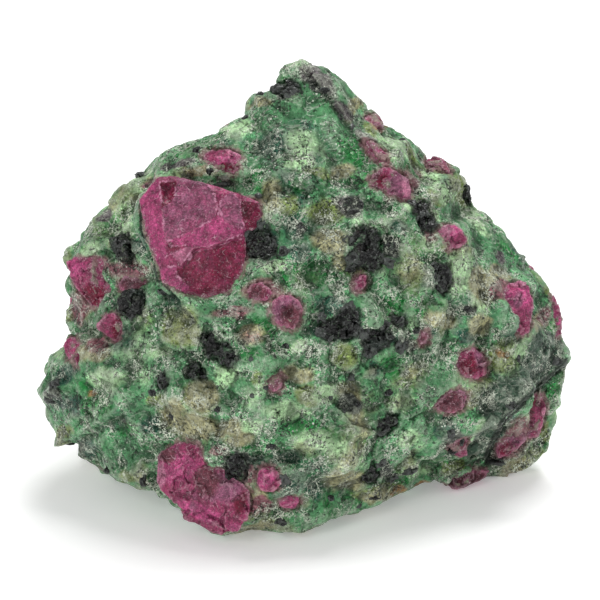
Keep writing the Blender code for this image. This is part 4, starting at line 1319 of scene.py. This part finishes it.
class Shading:
    """A material's nodes, with short ways to add and link them. Coordinates are in millimetres."""

    def __init__(self, name, base, tones, border, size):
        """Starts with a base colour, and tones over it where their attributes say, with ragged borders."""
        self.material = bpy.data.materials.new(name)
        self.material.use_nodes = True
        self.tree = self.material.node_tree
        place = self.add("TexCoord").outputs["Object"]
        self.place = self.vector("MULTIPLY", place, (1 / MM,) * 3)
        self.normal = None
        self.colour = linear(base)
        for order, (tone, colour) in enumerate(tones.items()):
            share = self.frayed(tone, size, 17.0 * order + 3, border, 4.0)
            self.lay(self.ease(share, 0.28, 0.82), colour)

    def feed(self, socket, value):
        if isinstance(value, bpy.types.NodeSocket):
            self.tree.links.new(value, socket)
        else:
            socket.default_value = value

    def add(self, kind, inputs=None, **settings):
        """A new node, with its settings made and its inputs fed."""
        node = self.tree.nodes.new("ShaderNode" + kind)
        for name, value in settings.items():
            setattr(node, name, value)
        for name, value in (inputs or {}).items():
            self.feed(node.inputs[name], value)
        return node

    def vector(self, operation, first, second):
        return self.add("VectorMath", {0: first, 1: second}, operation=operation).outputs[0]

    def maths(self, operation, first, second):
        return self.add("Math", {0: first, 1: second}, operation=operation).outputs[0]

    def sum(self, *parts):
        return functools.reduce(functools.partial(self.maths, "ADD"), parts)

    def product(self, *parts):
        return functools.reduce(functools.partial(self.maths, "MULTIPLY"), parts)

    def attribute(self, name):
        return self.add("Attribute", attribute_name=name).outputs["Fac"]

    def facets(self, size, place=None):
        """The height of small flat faces, each tilted its own way."""
        scaled = self.vector("MULTIPLY", place or self.place, (1 / size,) * 3)
        cells = self.add("TexVoronoi", {"Scale": 1.0, "Vector": scaled})
        offset = self.vector("SUBTRACT", scaled, cells.outputs["Position"])
        tilt = self.vector("SUBTRACT", cells.outputs["Color"], (0.5,) * 3)
        return self.add("VectorMath", {0: offset, 1: tilt}, operation="DOT_PRODUCT").outputs["Value"]

    def noise(self, size, detail=3.0, shift=0.0, place=None, roughness=0.6):
        """Noise from 0 to 1 whose hills are about size apart."""
        moved = self.vector("ADD", place or self.place, (shift,) * 3)
        inputs = {"Scale": 1 / size, "Detail": detail, "Roughness": roughness, "Vector": moved}
        return self.add("TexNoise", inputs).outputs["Fac"]

    def ragged(self, size, shift, reach, detail=3.0):
        """Noise about 0 that makes a border wander when it is added."""
        return self.product(self.sum(self.noise(size, detail, shift), -0.5), reach)

    def frayed(self, name, size, shift, reach, detail=3.0):
        """An attribute whose borders wander."""
        return self.sum(self.attribute(name), self.ragged(size, shift, reach, detail))

    def cells(self, size, output, feature="F1", place=None):
        inputs = {"Scale": 1 / size, "Vector": place or self.place}
        return self.add("TexVoronoi", inputs, feature=feature).outputs[output]

    def chance(self, size, place, part="Red"):
        """A random number from 0 to 1 for each cell."""
        return self.add("SeparateColor", {"Color": self.cells(size, "Color", place=place)}).outputs[part]

    def bent(self, size, reach):
        """The coordinates, shifted about by as much as reach."""
        noise = self.add("TexNoise", {"Scale": 1 / size, "Vector": self.place})
        centred = self.vector("SUBTRACT", noise.outputs["Color"], (0.5,) * 3)
        return self.vector("ADD", self.place, self.vector("MULTIPLY", centred, (reach * 2,) * 3))

    def drawn_out(self, direction, reach, place):
        """The coordinates, so scaled that what is laid on them grows longer in a direction."""
        turn = direction.to_track_quat("X", "Z").to_euler()
        inputs = {"Rotation": turn, "Scale": (reach, 1, 1), "Vector": place}
        return self.add("Mapping", inputs, vector_type="TEXTURE").outputs["Vector"]

    def wisps(self, place, size, width, shift):
        """Thin wandering strokes, and the shade that lies along one side of them."""
        height = self.sum(self.noise(size, 0.0, shift, place), -0.5)
        strokes = self.ease(self.noise(0.7, 2.0, shift + 9.0), 0.44, 0.54)
        line = self.ease(self.maths("ABSOLUTE", height, 0.0), width, width * 0.3)
        near, far = self.ease(height, -width, -2 * width), self.ease(height, -4.5 * width, -2.5 * width)
        return self.product(line, strokes), self.product(far, near, strokes)

    def ease(self, value, low, high, start=0.0, end=1.0):
        """Goes softly from start to end while value goes from low to high."""
        inputs = {"Value": value, "From Min": low, "From Max": high, "To Min": start, "To Max": end}
        return self.add("MapRange", inputs, interpolation_type="SMOOTHSTEP").outputs["Result"]

    def lay(self, share, colour, blend="MIX"):
        """Lays a colour over the colour so far."""
        if not isinstance(colour, bpy.types.NodeSocket):
            colour = linear(colour)
        inputs = {"Factor": share, "A": self.colour, "B": colour}
        self.colour = self.add("Mix", inputs, data_type="RGBA", blend_type=blend).outputs["Result"]

    def brighten(self, amount, share=None):
        """Multiplies the colour so far by an amount, or goes so much of the way there."""
        if share is not None:
            amount = self.sum(self.product(self.sum(amount, -1.0), share), 1.0)
        grey = self.add("CombineColor", {"Red": amount, "Green": amount, "Blue": amount})
        self.lay(1.0, grey.outputs["Color"], "MULTIPLY")

    def bump(self, height, distance, strength=1.0):
        """Adds a height to the bumps so far."""
        inputs = {"Strength": strength, "Distance": distance * MM, "Height": height}
        if self.normal:
            inputs["Normal"] = self.normal
        self.normal = self.add("Bump", inputs).outputs["Normal"]

    def done(self, roughness, gloss):
        shader = self.tree.nodes["Principled BSDF"]
        shader.inputs["Specular IOR Level"].default_value = gloss
        for name, value in (("Base Color", self.colour), ("Roughness", roughness), ("Normal", self.normal)):
            self.feed(shader.inputs[name], value)
        return self.material


def lay_grit(use, busy, rough):
    """Whitish grit and dark gaps gather where grains meet."""
    jagged = use.bent(0.3, 0.2)
    for size, reach, shift in GRIT:
        edge = use.ease(use.cells(size, "Distance", "DISTANCE_TO_EDGE", jagged), reach, 0.0)
        gap = use.sum(use.noise(0.3, 2.0, shift), use.product(edge, 0.13))
        places = use.ease(use.noise(2.6, 2.0, shift + 3.0), 0.44, 0.58)
        grainy = use.ease(busy, 0.2, 1.0, 0.3, 1.0)
        use.lay(use.product(use.ease(gap, 0.59, 0.67), places, grainy, 0.92), CREVICE_AND_SHADE)
        grit = use.sum(use.noise(0.16, 2.0, shift + 5.0, roughness=0.7), use.product(edge, 0.17))
        places = use.ease(use.noise(3.2, 2.0, shift + 8.0), 0.42, 0.6)
        use.lay(use.product(use.ease(grit, 0.62, 0.68), places, rough, busy, 0.85), PALE_GRIT)


def lay_wisps(use, rough, streaked):
    """Pale strokes with a dark side run over the smooth face."""
    for direction, reach, size, width, shift, share, on_smooth in WISPS:
        place = use.drawn_out(direction, reach, use.bent(3.0, 0.6))
        line, shade = use.wisps(place, size, width, shift)
        places = use.ease(use.noise(3.0, 2.0, shift + 5.0), 0.5, 0.62, 0.0, 0.4)
        places = use.sum(use.product(places, rough), use.product(streaked, on_smooth))
        use.lay(use.product(shade, places, 0.4), STROKE_SHADE)
        use.lay(use.product(line, places, share), STROKE)


def lay_glints(use, busy):
    for size, shift in GLINTS:
        place = use.vector("ADD", use.bent(0.25, 0.12), (shift,) * 3)
        spot = use.ease(use.cells(size, "Distance", place=place), 0.36, 0.2)
        lucky = use.ease(use.sum(use.chance(size, place), use.ragged(2.4, shift, 1.4, 2.0)), 0.84, 0.96)
        use.lay(use.product(spot, lucky, busy, 0.75), GLINT)


def lay_stains_and_shade(use):
    """The rock is stained where it meets a ruby and dark where it meets hornblende, and painted shade darkens
    its grooves.
    """
    use.lay(use.ease(use.frayed("beside_ruby", 0.6, 190.0, 1.6), 0.2, 0.95, 0.0, 0.8), RUBY_STAIN)
    use.lay(use.ease(use.frayed("beside_black", 0.6, 190.0, 1.6), 0.3, 0.95, 0.0, 0.85), BLACK_STAIN)
    # Painted shade along the ledges' grooves.
    use.lay(use.ease(use.frayed("groove_shade", 0.6, 170.0, 0.8), 0.3, 0.8, 0.0, 0.9), HOLLOW_SHADE)


def zoisite_material():
    use = Shading("zoisite", SAGE, ZOISITE_TONES, 0.7, 1.6)
    # Soft blotches, as light sinks into the rock, and grains lighter or darker than those beside them.
    bent = use.bent(1.2, 0.5)
    use.brighten(use.ease(use.noise(2.6, 3.0, 36.0, roughness=0.55), 0.3, 0.7, 0.72, 1.24))
    use.brighten(use.ease(use.chance(1.5, bent), 0.0, 1.0, 0.84, 1.16))
    # Clear smooth places and places full of fine grains take turns.
    busy = use.ease(use.noise(2.4, 3.0, 350.0), 0.4, 0.6, 0.2, 1.15)
    crooked = use.bent(0.35, 0.22)
    for size, least, most in FINE_GRAINS:
        use.brighten(use.ease(use.chance(size, crooked, "Green"), 0.1, 0.9, least, most), busy)
    use.brighten(use.ease(use.noise(0.7, 5.0, 40.0, roughness=0.7), 0.25, 0.75, 0.8, 1.2))
    use.brighten(use.ease(use.noise(0.2, 2.0, 44.0, roughness=0.7), 0.25, 0.75, 0.48, 1.54), busy)
    # Painted shade darkens the crevices, where the relief lies low, and worn edges are dusty.
    standing = use.frayed("relief", 0.5, 60.0, 0.08)
    use.lay(use.ease(standing, -0.025, -0.13, 0.0, 0.65), CREVICE_AND_SHADE)
    use.lay(use.ease(standing, 0.05, 0.16, 0.0, 0.2), PALE_DUST)
    streaked = use.attribute("smooth")
    rough = use.maths("SUBTRACT", 1.0, streaked)
    lay_grit(use, busy, rough)
    lay_wisps(use, rough, streaked)
    lay_glints(use, busy)
    # Painted shade of small hollows gathers in places, and fine black pepper lies everywhere.
    hollow_shade = use.ease(use.noise(0.4, 2.0, 140.0, roughness=0.5), 0.58, 0.66)
    use.lay(use.product(hollow_shade, use.ease(use.noise(2.4, 2.0, 145.0), 0.44, 0.58), 0.8), HOLLOW_SHADE)
    use.lay(use.product(use.ease(use.noise(0.32, 2.0, 160.0, roughness=0.7), 0.67, 0.74), 0.75), PEPPER)
    lay_stains_and_shade(use)
    for size, height in ZOISITE_FACETS:
        use.bump(use.facets(size, bent), height)
    use.bump(use.noise(0.3, 4.0, 200.0, roughness=0.7), 0.05, 0.9)
    return use.done(use.ease(use.noise(0.8, 3.0, 180.0), 0.3, 0.7, 0.22, 0.5), DULL_GLOSS)


def ruby_material():
    use = Shading("ruby", RUBY, RUBY_TONES, 0.8, 1.0)
    use.brighten(use.ease(use.noise(1.5, 3.0, 24.0), 0.3, 0.7, 0.6, 1.26))
    use.brighten(use.ease(use.noise(0.55, 4.0, 30.0, roughness=0.7), 0.25, 0.75, 0.58, 1.4))
    # Painted shade where the relief lies low, and pale raised edges: partly worn, partly painted highlight.
    standing = use.frayed("relief", 0.4, 60.0, 0.06)
    use.lay(use.ease(standing, -0.01, -0.08, 0.0, 0.6), DARK_RUBY_AND_SHADE)
    use.lay(use.ease(standing, 0.03, 0.1, 0.0, 0.28), WORN_RUBY_AND_HIGHLIGHT)
    use.brighten(use.ease(use.noise(0.2, 2.0, 44.0, roughness=0.7), 0.25, 0.75, 0.56, 1.42))
    use.lay(use.product(use.ease(use.noise(0.2, 2.0, 90.0, roughness=0.75), 0.58, 0.7), 0.35), RUBY_DUST)
    line, shade = use.wisps(use.bent(1.6, 0.7), 0.9, 0.022, 120.0)
    places = use.ease(use.noise(2.2, 2.0, 125.0), 0.46, 0.62)
    use.lay(use.product(shade, places, 0.5), DARK_RUBY_AND_SHADE)
    use.lay(use.product(line, places, 0.5), RUBY_STROKE)
    seam = use.product(use.attribute("seam"), use.ease(use.noise(0.3, 3.0, 140.0), 0.35, 0.6))
    use.lay(use.ease(seam, 0.2, 0.8, 0.0, 0.75), RUBY_SEAM)
    # Rims are dusty, and rock clings to them.
    rim = use.frayed("rim", 0.6, 150.0, 2.4, 4.0)
    use.lay(use.ease(rim, 0.25, 0.9, 0.0, 0.75), RUBY_RIM_DUST)
    use.lay(use.ease(rim, 0.8, 1.15, 0.0, 0.8), RIM_ROCK)
    grit = use.ease(use.noise(0.18, 2.0, 155.0, roughness=0.7), 0.56, 0.66)
    use.lay(use.product(grit, use.ease(rim, 0.1, 0.7), 0.7), RIM_GRIT)
    use.bump(use.facets(1.2, use.bent(1.2, 0.3)), 0.3)
    use.bump(use.facets(0.4), 0.1)
    use.bump(use.noise(0.25, 4.0, 130.0, roughness=0.7), 0.06, 0.8)
    return use.done(use.ease(use.noise(0.7, 3.0, 110.0), 0.3, 0.7, 0.28, 0.5), DULL_GLOSS)


def hornblende_material():
    use = Shading("hornblende", HORNBLENDE, HORNBLENDE_TONES, 0.8, 0.8)
    use.brighten(use.ease(use.noise(0.4, 4.0, 30.0, roughness=0.7), 0.25, 0.75, 0.4, 1.6))
    # Raised points are pale: partly worn, partly painted highlight.
    use.lay(use.ease(use.frayed("relief", 0.3, 60.0, 0.08), 0.07, 0.14, 0.0, 0.25), WORN_BLACK_AND_HIGHLIGHT)
    # Pale flecks: partly grey specks, partly painted glints.
    use.lay(use.product(use.ease(use.noise(0.18, 2.0, 90.0, roughness=0.75), 0.62, 0.7), 0.22), BLACK_FLECK_AND_GLINT)
    # Greenish dust lies between its lumps and on its rims.
    lump = use.cells(1.1, "Distance", "DISTANCE_TO_EDGE", use.bent(0.6, 0.3))
    dust = use.sum(use.ease(lump, 0.1, 0.0), use.ragged(0.5, 170.0, 2.2, 2.0))
    use.lay(use.ease(dust, 0.8, 1.25, 0.0, 0.75), GREEN_DUST)
    use.lay(use.ease(use.frayed("rim", 0.4, 150.0, 1.8), 0.6, 1.1, 0.0, 0.7), BLACK_RIM_DUST)
    use.bump(use.facets(0.8, use.bent(0.6, 0.3)), 0.5)
    use.bump(use.facets(0.35), 0.2)
    use.bump(use.noise(0.25, 3.0, 130.0), 0.03, 0.8)
    return use.done(use.ease(use.noise(0.5, 3.0, 110.0), 0.3, 0.7, 0.12, 0.4), BLACK_GLOSS)


# ---------------------------------------------------------------- the studio


def camera():
    data = bpy.data.cameras.new("camera")
    data.sensor_width = SENSOR_WIDTH
    data.lens = SENSOR_WIDTH * CAMERA_DISTANCE / (IMAGE_SIZE * PIXEL)
    data.clip_start = 0.01
    obj = add_object("camera", data)
    obj.location = EYE * MM
    obj.rotation_euler = AWAY.to_track_quat("-Z", "Y").to_euler()
    bpy.context.scene.camera = obj


def area_light(name, place, size, power):
    """A soft light that looks at the stone."""
    data = bpy.data.lights.new(name, "AREA")
    data.shape = "SQUARE"
    data.size = size
    data.energy = power
    obj = add_object(name, data)
    obj.location = place
    obj.rotation_euler = (MIDDLE * MM - Vector(place)).to_track_quat("-Z", "Y").to_euler()


def floor():
    bm = bmesh.new()
    bmesh.ops.create_grid(bm, x_segments=1, y_segments=1, size=FLOOR_SIZE)
    obj = mesh_object("floor", bm)
    made = bpy.data.materials.new("floor")
    made.use_nodes = True
    shader = made.node_tree.nodes["Principled BSDF"]
    shader.inputs["Base Color"].default_value = (FLOOR_WHITE, FLOOR_WHITE, FLOOR_WHITE, 1)
    shader.inputs["Roughness"].default_value = 0.9
    shader.inputs["Specular IOR Level"].default_value = 0.0
    shader.inputs["Emission Color"].default_value = (1, 1, 1, 1)
    shader.inputs["Emission Strength"].default_value = FLOOR_GLOW
    obj.data.materials.append(made)


def world():
    made = bpy.data.worlds.new("studio")
    made.use_nodes = True
    background = made.node_tree.nodes["Background"]
    background.inputs["Color"].default_value = (1, 1, 1, 1)
    background.inputs["Strength"].default_value = WORLD_LIGHT
    bpy.context.scene.world = made
    bpy.context.scene.view_settings.view_transform = "Standard"


def stone():
    """The rock with its crystals and grains."""
    ruby = Kind("ruby", ruby_material(), (RUBY_PATCHES, RUBY_SHARES, *RUBY_SPREAD), RUBY_BREAKS, RUBY_RAGGED)
    black_tones = (HORNBLENDE_PATCHES, HORNBLENDE_SHARES, *HORNBLENDE_SPREAD)
    black = Kind("hornblende", hornblende_material(), black_tones, HORNBLENDE_BREAKS, HORNBLENDE_RAGGED)
    large = ruby._replace(breaks=LARGE_RUBY_BREAKS, ragged=LARGE_RUBY_RAGGED)
    rubies = [crystal(LARGE_RUBY, large_ruby_form(), large, LARGE_RUBY_NET, LARGE_RUBY_ROUNDS)]
    rubies += all_crystals(ruby)
    blacks = all_crystals(black)
    crystals = rubies + blacks
    bare = [obj for obj in crystals if obj.name in BARE_CRYSTALS]
    rock = rock_surface(tree_of(bare), tree_of([obj for obj in crystals if obj not in bare]))
    points, normals = points_of(rock.data), normals_of(rock.data)
    set_tones(rock.data, ZOISITE_PATCHES, ZOISITE_SHARES, *ROCK_SPREAD)
    set_relief(rock.data, ROCK_RELIEF_ROUNDS)
    # Painted shade along the ledges and grooves.
    set_attribute(rock.data, "groove_shade", ledges(points, normals)[1])
    set_attribute(rock.data, "smooth", smoothness(points, normals))
    set_attribute(rock.data, "beside_ruby", nearness(points, tree_of(rubies), STAIN_REACH))
    set_attribute(rock.data, "beside_black", nearness(points, tree_of(blacks), STAIN_REACH))
    crystal_tree = tree_of(crystals)
    open_rock = open_rock_tree(rock, crystal_tree)
    for obj in crystals:
        set_attribute(obj.data, "rim", nearness(points_of(obj.data) / MM, open_rock, RIM_REACH))
    finish(rock, zoisite_material(), "zoisite", ROCK_NODE)
    small_grains(black, tree_of([rock]), crystal_tree)


stone()
floor()
world()
camera()
for light, settings in LIGHTS.items():
    area_light(light, *settings)
